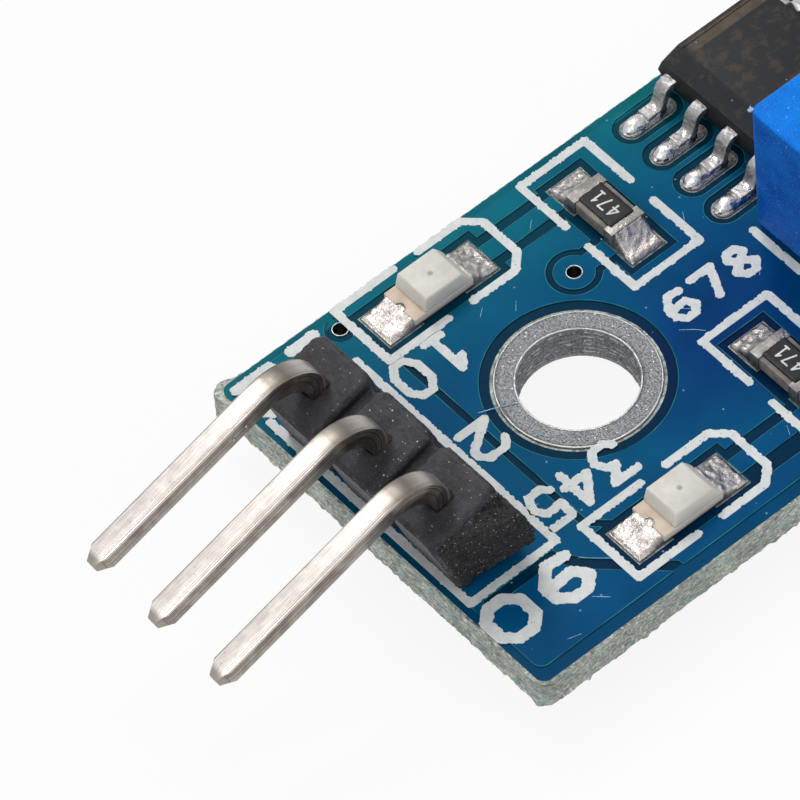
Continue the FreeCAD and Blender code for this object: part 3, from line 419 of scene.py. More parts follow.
def solderFinish(name, bright, dark, streak, size, rough):
    # dark folds between bright ones, and darker where the surface stands steep: both are painted dark
    # reflections
    look = Finish(name, bright, rough, 1.0)
    folds = look.grain(size, 5.0, 0.62, 1.4)
    share = look.times(look.between(folds, 0.36, 0.62, streak, 0.0),
                       look.cloud(size * 4, 3.0, 0.38, 0.60, 0.35, 1.0))
    patch = look.between(look.grain(size * 7, 2.0, 0.5, 1.0), 0.50, 0.60, 0.0, streak * 0.5)
    # the steep sides take the darker colour: painted dark reflection
    steepShade = look.between(look.facing(2), 0.35, 0.90, 0.55, 0.0)
    tone = look.painted(bright, (look.most(share, patch), dark), (steepShade, dark))
    return look.use(Base_Color=tone, Roughness=look.level(size * 2, rough * 0.7, rough * 1.5),
                    Normal=look.relief(folds, 0.03 * mm, 0.8))


for key, values in solders.items():
    finishes[key] = solderFinish(key, *values)
finishes["solder"] = finishes["brightSolder"]

pinLook = {
    "pitch": 2.54 * mm, "firstY": 3.07 * mm, "lean": (0.949, 0.314), "centre": (-7.69 * mm, 3.02 * mm),
    "tipFrom": -5.5 * mm, "top": (0.70, 0.63, 0.58), "streak": (0.93, 0.88, 0.84),
    # the crown tone is painted shade over the bend, and the two flank tones are the sides in painted shade
    "crownShade": (0.105, 0.090, 0.075), "pore": (0.36, 0.30, 0.27), "flank": (0.24, 0.20, 0.17),
    "flankShadePale": (0.42, 0.38, 0.34), "cut": (0.33, 0.30, 0.26),
    # place across the pin, half width, depth of the dark line; these dark lines are painted shade along the
    # pin's edges
    "lines": ((-0.200 * mm, 0.008 * mm, 0.55), (-0.255 * mm, 0.010 * mm, 0.75),
              (0.290 * mm, 0.012 * mm, 0.75)),
    "edgeShade": (0.12, 0.095, 0.08),
    # lines that follow the flank round the bend: distance from its centre, half width, depth, tone; the last,
    # pale one is a painted highlight along the bend's edge
    "rings": ((1.10 * mm, 0.016 * mm, 0.8, (0.08, 0.065, 0.055)),
              (1.19 * mm, 0.012 * mm, 0.7, (0.08, 0.065, 0.055)),
              (0.92 * mm, 0.02 * mm, 0.6, (0.08, 0.065, 0.055)),
              (1.285 * mm, 0.026 * mm, 0.8, (0.80, 0.74, 0.68))),
}


def pinFinish():
    look = Finish("nickelPin", (0.70, 0.66, 0.62), 0.36, 1.0)
    # the flanks take darker tones than the top: painted shade
    flank = look.calc("GREATER_THAN", look.calc("ABSOLUTE", look.facing(1)), 0.6)
    streaks = look.grain(0.035, 3.0, 0.6, 0.2, look.stretched((0.06, 1.0, 0.06)))
    pores = look.times(look.specks(0.13, 0.13, 0.20), 0.5)
    leanX, leanZ = pinLook["lean"]
    dx = look.calc("SUBTRACT", look.axis(0), pinLook["centre"][0])
    dz = look.calc("SUBTRACT", look.axis(2), pinLook["centre"][1])
    along = look.calc("ADD", look.times(dx, leanX), look.times(dz, leanZ))
    offset = look.calc("SUBTRACT", look.times(dz, leanX), look.times(dx, leanZ))
    radius = look.length(look.most(along, 0.0), offset)
    # the crown of the bend darkened: painted shade in place of a darker reflection
    crownShade = look.times(look.between(along, -0.55 * mm, 0.05 * mm, 0.0, 0.88),
                       look.between(along, 0.55 * mm, 0.95 * mm, 1.0, 0.60))
    top = look.painted(pinLook["top"], (look.between(streaks, 0.35, 0.65), pinLook["streak"]),
                       (crownShade, pinLook["crownShade"]), (pores, pinLook["pore"]))
    flankShade = look.blend(look.cloud(0.5, 3.0, 0.35, 0.65), pinLook["flank"],
                           pinLook["flankShadePale"])
    tone = look.blend(flank, top, flankShade)
    start = pinLook["firstY"] - pinLook["pitch"] / 2
    step = look.calc("FLOORED_MODULO", look.calc("SUBTRACT", look.axis(1), start), pinLook["pitch"])
    across = look.calc("SUBTRACT", step, pinLook["pitch"] / 2)
    # dark lines near the pin's edges: painted shade
    for place, width, depth in pinLook["lines"]:
        tone = look.blend(look.times(look.near(across, place, width), depth), tone, pinLook["edgeShade"])
    for place, width, depth, ringTone in pinLook["rings"]:
        tone = look.blend(look.times(look.near(radius, place, width), flank, depth), tone, ringTone)
    # the cut faces at the tip look out along the pin and are duller
    outward = look.calc("ADD", look.times(look.facing(0), -leanX), look.times(look.facing(2), -leanZ))
    cut = look.times(look.between(outward, 0.30, 0.42), look.calc("LESS_THAN", along, pinLook["tipFrom"]))
    tone = look.blend(look.times(cut, 0.9), tone, pinLook["cut"])
    return look.use(Base_Color=tone, Roughness=look.level(0.3, 0.30, 0.44),
                    Normal=look.relief(streaks, 0.004 * mm, 0.6))


finishes["pin_metal"] = pinFinish()

ringLook = {
    # distance from the axis and half width of the bright rims
    "rims": ((1.728 * mm, 0.022 * mm), (2.295 * mm, 0.020 * mm)), "rimTone": (0.70, 0.71, 0.70),
    "ground": (0.085, 0.088, 0.092), "grit": (0.28, 0.29, 0.31), "fleck": (0.62, 0.64, 0.66),
    "dent": (0.07, 0.07, 0.075),
}


def ringFinish():
    look = Finish("tinPlate", (0.30, 0.31, 0.33), 0.45, 1.0)
    grit = look.grain(0.055, 4.0, 0.65)
    dents = look.specks(0.16, 0.16, 0.20, look.stretched(turn=(0, 0, 40)))
    tone = look.painted(
        ringLook["ground"], (look.between(grit, 0.36, 0.62), ringLook["grit"]),
        (look.times(look.specks(0.11, 0.22, 0.22), 0.8), ringLook["fleck"]),
        (look.times(dents, 0.7), ringLook["dent"]))
    radius = look.length(look.axis(0), look.axis(1))
    for place, width in ringLook["rims"]:
        rim = look.times(look.near(radius, place, width), look.between(look.facing(2), 0.0, 0.3), 0.75)
        tone = look.blend(rim, tone, ringLook["rimTone"])
    return look.use(Base_Color=tone, Roughness=look.level(0.5, 0.34, 0.5),
                    Normal=look.relief(grit, 0.03 * mm, 0.8))


finishes["tin_plate"] = ringFinish()

plastics = {
    # material name, colour, darker colour, roughness, grain and relief in mm, gloss
    "resistor_coat": ("resistorCoat", (0.016, 0.018, 0.023), (0.009, 0.010, 0.013), 0.42, 0.04, 0.003, 0.2),
    "white_ceramic": ("whiteCeramic", (0.29, 0.26, 0.235), (0.13, 0.115, 0.10), 0.55, 0.04, 0.006, 0.3),
    "capacitor_ceramic": ("brownCeramic", (0.30, 0.20, 0.12), (0.21, 0.14, 0.08), 0.40, 0.04, 0.005, 0.3),
    "burrPale": ("burrPale", (0.58, 0.66, 0.72), (0.30, 0.46, 0.62), 0.5, 0.05, 0.01, 0.3),
    "digitInk": ("digitInk", (0.74, 0.74, 0.72), (0.62, 0.62, 0.60), 0.5, 0.05, 0.003, 0.3),
    "scratch": ("scratch", (0.46, 0.66, 0.78), (0.16, 0.40, 0.56), 0.5, 0.04, 0.003, 0.3),
    "rotor_white": ("rotorWhite", (0.72, 0.71, 0.67), (0.60, 0.59, 0.55), 0.45, 0.06, 0.006, 0.3),
    "seal_rubber": ("sealRubber", (0.03, 0.03, 0.03), (0.02, 0.02, 0.02), 0.7, 0.05, 0.006, 0.3),
    "potting": ("potting", (0.05, 0.05, 0.055), (0.03, 0.03, 0.03), 0.6, 0.08, 0.01, 0.3),
    "capsule_black": ("capsuleBlack", (0.022, 0.022, 0.024), (0.014, 0.014, 0.015), 0.36, 0.05, 0.004, 0.3),
    "pourEdge": ("pourEdge", (0.030, 0.270, 0.300), (0.004, 0.090, 0.130), 0.4, 0.10, 0.002, 0.1),
}


def plasticFinish(name, colour, darker, rough, size, depth, gloss):
    look = Finish(name, colour, rough)
    tone = look.blend(look.cloud(size * 12, 3.0, 0.35, 0.68), darker, colour)
    return look.use(Base_Color=tone, Roughness=look.level(size * 5, rough * 0.85, rough * 1.15),
                    Specular_IOR_Level=gloss,
                    Normal=look.relief(look.grain(size, 3.0, 0.6), depth * mm, 0.8))


for key, values in plastics.items():
    finishes[key] = plasticFinish(*values)

headerLook = {
    "snapped": -3.06 * mm, "blendLength": 0.05 * mm, "dark": (0.015, 0.015, 0.019),
    "pale": (0.038, 0.039, 0.048), "grain": (0.085, 0.087, 0.100), "fleck": (0.60, 0.60, 0.62),
    "torn": (0.008, 0.008, 0.009), "tornPale": (0.060, 0.058, 0.060), "chip": (0.55, 0.53, 0.52),
}


def headerFinish():
    look = Finish("headerPlastic", (0.030, 0.031, 0.038), 0.48)
    fine = look.grain(0.030, 4.0, 0.65)
    cloud = look.between(look.grain(0.5, 4.0, 0.6), 0.36, 0.64)
    bright = look.scattered((0.10, 0.15, 0.14), (0.20, 0.12, 0.12), (20, 0, 40))
    tone = look.painted(
        headerLook["dark"], (cloud, headerLook["pale"]),
        (look.between(fine, 0.52, 0.70), headerLook["grain"]), (look.times(bright, 0.80), headerLook["fleck"]))
    end = headerLook["snapped"]
    torn = look.between(look.axis(1), end - headerLook["blendLength"], end, 1.0, 0.0)
    coarse = look.grain(0.075, 5.0, 0.75)
    chips = look.scattered((0.085, 0.26, 0.22), (0.13, 0.16, 0.18), (50, 10, 0))
    tornTone = look.painted(
        headerLook["torn"], (look.between(coarse, 0.42, 0.60), headerLook["tornPale"]),
        (look.times(chips, 0.7), headerLook["chip"]))
    bumps = look.relief(fine, 0.010 * mm, 0.8)
    bumps = look.relief(coarse, look.times(torn, 0.09 * mm), 0.9, bumps)
    return look.use(Base_Color=look.blend(torn, tone, tornTone), Roughness=look.level(0.2, 0.40, 0.60),
                    Specular_IOR_Level=0.28, Normal=bumps)


finishes["header_plastic"] = headerFinish()


trimmerLook = {
    # the darker and the paler blue of each side; the sides are darker than the top as painted shade
    "top": ((0.002, 0.165, 0.70), (0.003, 0.215, 0.84)), "side": ((0.001, 0.090, 0.46), (0.002, 0.140, 0.60)),
    "grain": (0.10, 0.38, 0.92), "fleck": (0.42, 0.66, 0.98),
}


def trimmerFinish():
    look = Finish("trimmerBlue", (0.002, 0.185, 0.76), 0.45)
    cloud = look.cloud(0.7, 4.0, 0.35, 0.68)
    top = look.blend(cloud, *trimmerLook["top"])
    side = look.blend(cloud, *trimmerLook["side"])
    fine = look.grain(0.05, 4.0, 0.65)
    bright = look.scattered((0.12, 0.14, 0.16), (0.30, 0.20, 0.09), (20, 0, 40))
    # the sides get darker blues than the top: painted shade
    tone = look.painted(side, (look.between(look.facing(2), 0.3, 0.8), top),
                        (look.between(fine, 0.54, 0.70, 0.0, 0.6), trimmerLook["grain"]),
                        (look.times(bright, 0.7), trimmerLook["fleck"]))
    return look.use(Base_Color=tone, Specular_IOR_Level=0.06, Normal=look.relief(fine, 0.02 * mm, 0.8))


finishes["trimmer_blue"] = trimmerFinish()

bodyLook = {
    "stripeY": (5.36 * mm, 5.76 * mm), "stripeStart": (8.95 * mm, 9.15 * mm), "stripeFloor": 1.55 * mm,
    "ground": (0.017, 0.020, 0.024), "stain": (0.090, 0.060, 0.036), "stripe": (0.105, 0.082, 0.056),
    "dust": (0.45, 0.44, 0.42),
}


def packageFinish():
    look = Finish("packageBlack", (0.024, 0.028, 0.032), 0.52)
    stain = look.times(look.between(look.grain(0.42, 5.0, 0.65), 0.50, 0.60),
                       look.between(look.facing(2), 0.6, 0.9), 0.45)
    low, high = bodyLook["stripeY"]
    stripe = look.times(look.calc("GREATER_THAN", look.axis(1), low),
                        look.calc("LESS_THAN", look.axis(1), high),
                        look.calc("GREATER_THAN", look.axis(2), bodyLook["stripeFloor"]),
                        look.between(look.axis(0), *bodyLook["stripeStart"]),
                        look.cloud(0.25, 4.0, 0.30, 0.60, 0.45, 1.0), 0.8)
    dust = look.times(look.specks(0.3, 0.09, 0.08), 0.6)
    colour = look.painted(bodyLook["ground"], (stain, bodyLook["stain"]), (stripe, bodyLook["stripe"]),
                          (dust, bodyLook["dust"]))
    return look.use(Base_Color=colour, Specular_IOR_Level=0.2,
                    Normal=look.relief(look.grain(0.05, 3.0, 0.6), 0.008 * mm, 0.8))


finishes["package_black"] = packageFinish()

lampLook = {
    "centres": ((-0.93, 5.00), (-0.79, -5.06)), "dot": 0.085 * mm, "scatter": 0.3 * mm,
    "lens": ((0.57, 0.55, 0.50), (0.65, 0.64, 0.60)), "shadow": (0.20, 0.19, 0.17),
    # the paler tone of the lens's sides is painted light
    "litLensSide": (0.78, 0.76, 0.70), "base": ((0.58, 0.46, 0.36), (0.70, 0.58, 0.47)),
    "baseSide": (0.70, 0.66, 0.60), "foot": (0.25, 0.18, 0.13),
}


def lensFinish():
    look = Finish("lampLens", (0.60, 0.59, 0.55), 0.36)
    cloud = look.cloud(0.35, 3.0, 0.35, 0.7)
    colour = look.blend(cloud, *lampLook["lens"])
    for x, y in lampLook["centres"]:
        reach = (lampLook["dot"] * 0.55, lampLook["dot"] * 1.3)
        shadow = look.between(look.away(x * mm, y * mm), *reach, 0.75, 0.0)
        colour = look.blend(shadow, colour, lampLook["shadow"])
    # the lens's sides paler than its top: painted light
    colour = look.blend(look.between(look.facing(2), 0.35, 0.8, 0.75, 0.0), colour, lampLook["litLensSide"])
    return look.use(Base_Color=colour, Normal=look.relief(look.grain(0.12, 2.0), 0.004 * mm, 0.6),
                    Subsurface_Weight=0.6, Subsurface_Radius=(1.0, 0.9, 0.7),
                    Subsurface_Scale=lampLook["scatter"])


finishes["lamp_lens"] = lensFinish()


def lampBaseFinish():
    look = Finish("lampBase", (0.66, 0.54, 0.43), 0.5)
    cloud = look.cloud(0.4, 3.0, 0.35, 0.68)
    side = look.between(look.facing(2), 0.3, 0.7, 1.0, 0.0)
    foot = look.between(look.axis(2), 0.13 * mm, 0.17 * mm, 0.85, 0.0)
    tone = look.painted(look.blend(cloud, *lampLook["base"]), (side, lampLook["baseSide"]),
                        (look.times(foot, side), lampLook["foot"]))
    return look.use(Base_Color=tone, Normal=look.relief(look.grain(0.05, 3.0), 0.005 * mm, 0.6))


finishes["lamp_base"] = lampBaseFinish()


def dressNodes():
    slots = {entry["node"]: entry["material_slot"] for entry in frame["record"]["subparts"]}
    for name, item in nodes.items():
        item.data.materials.clear()
        item.data.materials.append(finishes.get(name) or finishes[slots[name]])


dressNodes()
print("finishes on every node")




# Ways of working that the pieces share

mergeReach = 0.0005 * mm


def at(x, y, z):
    return Vector((x, y, z)) * mm


def alone(item):
    bpy.ops.object.select_all(action="DESELECT")
    item.select_set(True)
    bpy.context.view_layer.objects.active = item


def enter(item, mode="FACE"):
    alone(item)
    bpy.ops.object.mode_set(mode="EDIT")
    bpy.ops.mesh.select_mode(type=mode)


def leave():
    bpy.ops.object.mode_set(mode="OBJECT")


def enterAll(item, mode="FACE"):
    enter(item, mode)
    bpy.ops.mesh.select_all(action="SELECT")


def divided(item, cuts):
    enterAll(item)
    bpy.ops.mesh.subdivide(number_cuts=cuts)
    leave()
    return item


def pickFaces(item, test):
    mesh = bmesh.from_edit_mesh(item.data)
    for face in mesh.faces:
        face.select_set(bool(test(face.calc_center_median(), face.normal)))
    mesh.select_flush_mode()
    bmesh.update_edit_mesh(item.data)


def settle(item):
    alone(item)
    bpy.ops.object.transform_apply(location=True, rotation=True, scale=True)


def modify(item, kind, **settings):
    alone(item)
    made = item.modifiers.new(kind.lower(), kind)
    for key, value in settings.items():
        setattr(made, key, value)
    bpy.ops.object.modifier_apply(modifier=made.name)


def begun(name):
    item = bpy.context.object
    item.name = name
    return item


def block(name, low, high):
    # a box between two corners, to be shaped further
    bpy.ops.object.select_all(action="DESELECT")
    low, high = Vector(low), Vector(high)
    bpy.ops.mesh.primitive_cube_add(size=1, location=(low + high) / 2, scale=high - low)
    item = begun(name)
    settle(item)
    return item


def linked(name, item):
    # an object of its own with a copy of the mesh
    copy = bpy.data.objects.new(name, item.data.copy())
    bpy.context.scene.collection.objects.link(copy)
    return copy


def takenFrom(name, node):
    # a new mesh from a CAD node, with its doubles merged and its flat faces joined
    alone(linked(name, nodes[node]))
    item = begun(name)
    enterAll(item)
    bpy.ops.mesh.remove_doubles(threshold=mergeReach)
    bpy.ops.mesh.dissolve_limited(angle_limit=math.radians(1.5))
    leave()
    return item


def joined(name, items):
    bpy.ops.object.select_all(action="DESELECT")
    for item in items:
        item.select_set(True)
    bpy.context.view_layer.objects.active = items[0]
    if len(items) > 1:
        bpy.ops.object.join()
    return begun(name)


def copied(item, name, shift, turned=False):
    # turned stands for half a turn about the upright axis
    copy = linked(name, item)
    copy.location = shift
    if turned:
        copy.rotation_euler = (0, 0, math.pi)
    settle(copy)
    return copy


def spots(item):
    # every point with its place and normal, read before any of them moves
    found = [(vertex.co.copy(), vertex.normal.copy()) for vertex in item.data.vertices]
    return list(zip(item.data.vertices, found))


def roughen(item, reach, size, test=None, octaves=3):
    # small moves of the points along their normals
    for vertex, (place, normal) in spots(item):
        if test is None or test(place, normal):
            vertex.co = place + normal * reach * noise.fractal(place / size, 1.0, 2.0, octaves)


def finished(item, finish, body="board", standsFor=(), angle=35, flat=False):
    settle(item)
    if not flat:
        bpy.ops.object.shade_smooth_by_angle(angle=math.radians(angle))
    item.data.materials.clear()
    item.data.materials.append(finishes[finish])
    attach(item, body)
    if standsFor:
        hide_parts(*standsFor)
    return item


def bevelled(item, width, segments=2, angle=30):
    modify(item, "BEVEL", width=width * mm, segments=segments, limit_method="ANGLE",
           angle_limit=math.radians(angle), use_clamp_overlap=True)


def softened(node, name, width, finish, body="board", segments=2, angle=30, smooth=45):
    # the CAD form with its edges broken, as a moulding or a cut pin has them
    item = takenFrom(name, node)
    bevelled(item, width, segments, angle)
    return finished(item, finish, body, (node,), smooth)


# Printed lines: the white legend, the digits and fine scratches

digitLines = {
    "0": [[(0.3, 0), (0, 0.25), (0, 0.75), (0.3, 1), (0.7, 1), (1, 0.75), (1, 0.25), (0.7, 0), (0.3, 0)]],
    "1": [[(0.15, 0.72), (0.5, 1), (0.5, 0)], [(0.15, 0), (0.85, 0)]],
    "2": [[(0, 0.75), (0.2, 1), (0.8, 1), (1, 0.8), (1, 0.6), (0, 0), (1, 0)]],
    "3": [[(0, 1), (1, 1), (0.45, 0.6), (0.8, 0.55), (1, 0.3), (0.75, 0), (0.25, 0), (0, 0.15)]],
    "4": [[(0.75, 0), (0.75, 1), (0, 0.35), (1, 0.35)]],
    "5": [[(0.95, 1), (0.1, 1), (0.05, 0.58), (0.7, 0.6), (1, 0.35), (0.75, 0), (0.2, 0), (0, 0.15)]],
    "6": [[(0.9, 0.95), (0.4, 1), (0, 0.6), (0, 0.25), (0.3, 0), (0.7, 0), (1, 0.25), (0.75, 0.55),
           (0.05, 0.5)]],
    "7": [[(0, 1), (1, 1), (0.4, 0)]],
    "8": [[(0.5, 0.54), (0.1, 0.75), (0.3, 1), (0.7, 1), (0.9, 0.75), (0.5, 0.54), (0, 0.27), (0.3, 0),
           (0.7, 0), (1, 0.27), (0.5, 0.54)]],
    "9": [[(0.1, 0.05), (0.6, 0), (1, 0.4), (1, 0.75), (0.7, 1), (0.3, 1), (0, 0.75), (0.25, 0.45),
           (0.95, 0.5)]],
}


def numeralLines(text, place, height, width, pitch, turn):
    # lines of a row of digits; turn is the reading direction in degrees
    along = Vector((math.cos(math.radians(turn)), math.sin(math.radians(turn))))
    upward = Vector((-along.y, along.x))
    return [[Vector(place) + along * (count * pitch + x * width) + upward * (y * height) for x, y in line]
            for count, digit in enumerate(text) for line in digitLines[digit]]


def segmentDistance(point, start, end):
    run = end - start
    share = max(0.0, min(1.0, (point - start).dot(run) / max(run.length_squared, 1e-18)))
    return (point - start - run * share).length


def printed(name, lines, halfWidth, cell, level, thick, ragged, grit=0.11 * mm):
    # a grid over each line loses the faces off the line, and the rest gets the thickness of the ink
    sheets = []
    margin = halfWidth + ragged + 2 * cell
    for line in lines:
        line = [Vector(spot) for spot in line]
        low = Vector((min(p.x for p in line) - margin, min(p.y for p in line) - margin))
        high = Vector((max(p.x for p in line) + margin, max(p.y for p in line) + margin))
        low = Vector((math.floor(low.x / cell) * cell, math.floor(low.y / cell) * cell))
        across, along = math.ceil((high.x - low.x) / cell), math.ceil((high.y - low.y) / cell)
        centre = low + Vector((across, along)) * cell / 2
        bpy.ops.object.select_all(action="DESELECT")
        bpy.ops.mesh.primitive_grid_add(x_subdivisions=across, y_subdivisions=along, size=1,
                                        location=(centre.x, centre.y, level))
        sheet = begun(name)
        sheet.scale = (across * cell, along * cell, 1)
        settle(sheet)
        mesh = bmesh.new()
        mesh.from_mesh(sheet.data)
        spare = []
        for face in mesh.faces:
            spot = face.calc_center_median()
            away = min(segmentDistance(spot.xy, a, b) for a, b in zip(line, line[1:]))
            if away > halfWidth + ragged:
                spare.append(face)
            elif away > halfWidth - ragged:
                if away > halfWidth + ragged * noise.fractal(spot / grit, 1.0, 2.0, 2):
                    spare.append(face)
        bmesh.ops.delete(mesh, geom=spare, context="FACES")
        mesh.to_mesh(sheet.data)
        mesh.free()
        sheets.append(sheet)
    item = joined(name, sheets)
    enterAll(item)
    bpy.ops.mesh.remove_doubles(threshold=cell * 0.01)
    bpy.ops.mesh.region_to_loop()
    bpy.ops.mesh.vertices_smooth(factor=0.5, repeat=2)
    bpy.ops.mesh.select_all(action="SELECT")
    bpy.ops.mesh.extrude_region_move(TRANSFORM_OT_translate={"value": (0, 0, -thick)})
    bpy.ops.mesh.select_all(action="SELECT")
    bpy.ops.mesh.normals_make_consistent(inside=False)
    leave()
    return item


legend = {
    "halfWidth": 0.138 * mm, "boldHalf": 0.19 * mm,
    "cell": 0.036 * mm, "level": 0.075 * mm, "thick": 0.020 * mm, "ragged": 0.026 * mm,
    "headerFrame": (-7.03, -4.00, -3.66, 4.60),
    "lamps": ((-1.02, 5.00), (-0.88, -5.06)),
    "lampFrame": {"left": 2.30, "right": 2.67, "low": 1.03, "high": 1.29, "open": (-0.20, 0.70),
                  "corner": 0.45},
    "chips": ((4.24, 3.69), (4.34, -3.72), (15.57, -3.72), (15.57, 3.40)),
    "chipFrame": {"left": 1.05, "right": 1.31, "end": 2.38, "open": 0.48},
    "trimmer": (6.84, 13.74, -6.45, 0.55),
    "sensor": (17.17, 23.27, -6.15, 4.00),
    # digits, place, height, width, pitch, reading direction
    "numerals": (
        ("10", (-1.62, 3.72), 1.28, 0.80, 1.22, 180), ("2", (-2.72, 0.72), 1.10, 0.95, 1.2, 180),
        ("345", (-0.78, -2.10), 1.22, 0.80, 1.12, 180), ("678", (3.32, -0.48), 0.92, 0.72, 1.10, 0),
    ),
    "bold": (("90", (-4.05, -4.12), 1.30, 1.20, 1.90, 180), ("12", (-4.10, 6.05), 1.25, 1.15, 1.75, 180)),
}


def inMetres(lines):
    return [[(x * mm, y * mm) for x, y in line] for line in lines]


def printLegend(setup):
    x0, x1, y0, y1 = setup["headerFrame"]
    lines = [[(x0, y1), (x0, y0), (x1, y0), (x1, y1)]]
    shape = setup["lampFrame"]
    for x, y in setup["lamps"]:
        left, right, low, top = x - shape["left"], x + shape["right"], y - shape["low"], y + shape["high"]
        near, far, cut = x + shape["open"][0], x + shape["open"][1], shape["corner"]
        lines.append([(near, top), (left, top), (left, low), (near, low)])
        lines.append([(far, top), (right - cut, top), (right, top - cut), (right, low + cut),
                      (right - cut, low), (far, low)])
    shape = setup["chipFrame"]
    for x, y in setup["chips"]:
        for side in (-1, 1):
            near, far = y + side * shape["open"], y + side * shape["end"]
            lines.append([(x - shape["left"], near), (x - shape["left"], far), (x + shape["right"], far),
                          (x + shape["right"], near)])
    for left, right, near, far in (setup["trimmer"], setup["sensor"]):
        lines.append([(left, far), (left, near), (right, near), (right, far)])
    sizes = (setup["cell"], setup["level"], setup["thick"], setup["ragged"])
    frames = printed("legendFrames", inMetres(lines), setup["halfWidth"], *sizes)
    finished(frames, "legend", standsFor=("legend_frames",), flat=True)
    for name, rows, half in (("legendNumerals", setup["numerals"], setup["halfWidth"]),
                             ("boldNumerals", setup["bold"], setup["boldHalf"])):
        lines = [line for row in rows for line in numeralLines(*row)]
        finished(printed(name, inMetres(lines), half, *sizes), "legend", flat=True)


printLegend(legend)
print("legend printed")


# The plated ring of the fixing hole, with its rims and ridged wall

holeRing = {
    "outer": 2.325, "inner": 1.700, "top": 0.060, "bottom": -1.160, "steps": 200,
    # the section, part by part: way in from the outer edge with the height over the top, the flat, then way
    # out from the inner edge with the height over the top, over each ridge and over the underside
    "outerRim": ((0, -0.060), (0, -0.015), (0.012, 0), (0.035, 0.014), (0.065, 0.0056), (0.090, -0.012)),
    "flatSteps": 6, "flatEnd": 0.080,
    "innerRim": ((0.055, 0.0042), (0.030, 0.014), (0.008, 0.0028), (0, -0.050)),
    "ridges": (-0.16, -0.33, -0.49, -0.66, -0.82, -0.98),
    "ridge": ((0.004, 0.050), (-0.0154, 0.015), (-0.022, 0), (0, -0.030)),
    "lowerRim": ((0, 0.060), (0.012, 0.010), (0.050, -0.0042), (0.150, 0)),
    "lowerEdge": ((0.080, 0), (0.015, 0.004), (0, 0.020)), "sleeve": 0.030, "boardBottom": -1.10,
    "wave": 0.030 * mm, "waveSize": 0.20 * mm, "grit": 0.010 * mm, "gritSize": 0.12 * mm,
}


def lathed(name, profile, steps, place=(0, 0)):
    # a circle is extruded and resized along a closed profile of radii and heights
    radius, height = profile[0]
    bpy.ops.object.select_all(action="DESELECT")
    bpy.ops.mesh.primitive_circle_add(vertices=steps, radius=radius * mm,
                                      location=(place[0] * mm, place[1] * mm, height * mm))
    item = begun(name)
    settle(item)
    enterAll(item, "EDGE")
    for (oldRadius, oldHeight), (newRadius, newHeight) in zip(profile, profile[1:]):
        bpy.ops.mesh.extrude_region_move(
            TRANSFORM_OT_translate={"value": (0, 0, (newHeight - oldHeight) * mm)})
        ratio = newRadius / oldRadius
        bpy.ops.transform.resize(value=(ratio, ratio, 1),
                                 center_override=(place[0] * mm, place[1] * mm, newHeight * mm))
    bpy.ops.mesh.select_all(action="SELECT")
    bpy.ops.mesh.remove_doubles(threshold=mergeReach)
    bpy.ops.mesh.normals_make_consistent(inside=False)
    leave()
    return item


def makeRing(setup):
    outer, inner, top, bottom = (setup[key] for key in ("outer", "inner", "top", "bottom"))
    profile = [(outer - inset, top + rise) for inset, rise in setup["outerRim"]]
    start, level = profile[-1]
    flat = start - inner - setup["flatEnd"]
    profile += [(start - flat * (step + 1) / setup["flatSteps"], level) for step in range(setup["flatSteps"])]
    profile += [(inner + offset, top + rise) for offset, rise in setup["innerRim"]]
    for height in setup["ridges"]:
        profile += [(inner + offset, height + rise) for offset, rise in setup["ridge"]]
    profile += [(inner + offset, bottom + rise) for offset, rise in setup["lowerRim"]]
    profile += [(outer - inset, bottom + rise) for inset, rise in setup["lowerEdge"]]
    sleeve = inner + setup["sleeve"]
    profile += [(outer, setup["boardBottom"]), (sleeve, setup["boardBottom"]), (sleeve, 0), (outer, 0)]
    item = lathed("holeRing", profile, setup["steps"])

    def onWall(place, normal):
        return math.hypot(place.x, place.y) < (inner + 0.01) * mm and place.z < top / 2 * mm

    roughen(item, setup["wave"], setup["waveSize"], onWall, 4)
    roughen(item, setup["grit"], setup["gritSize"], lambda place, normal: normal.z > 0.5, 4)
    finished(item, "tin_plate", standsFor=("fixing_hole_ring",), angle=50)


makeRing(holeRing)
print("ring made")


# Board: rough cut edge, rims of the small holes, scratches

boardEdge = {
    "left": -7.32, "right": 23.90, "front": -6.95, "back": 6.42, "top": -0.004, "bottom": -1.105,
    "corner": 0.30, "width": 0.22, "depth": 9, "push": 0.022, "reach": 0.060, "size": 0.15, "rimWidth": 0.10,
    "tearReach": 0.17, "tearSize": 0.32, "tearLevel": -0.98,
    # the corner that bulges: place, spread, swell
    "bulge": (-7.32, 6.42, 1.05, 0.30),
}


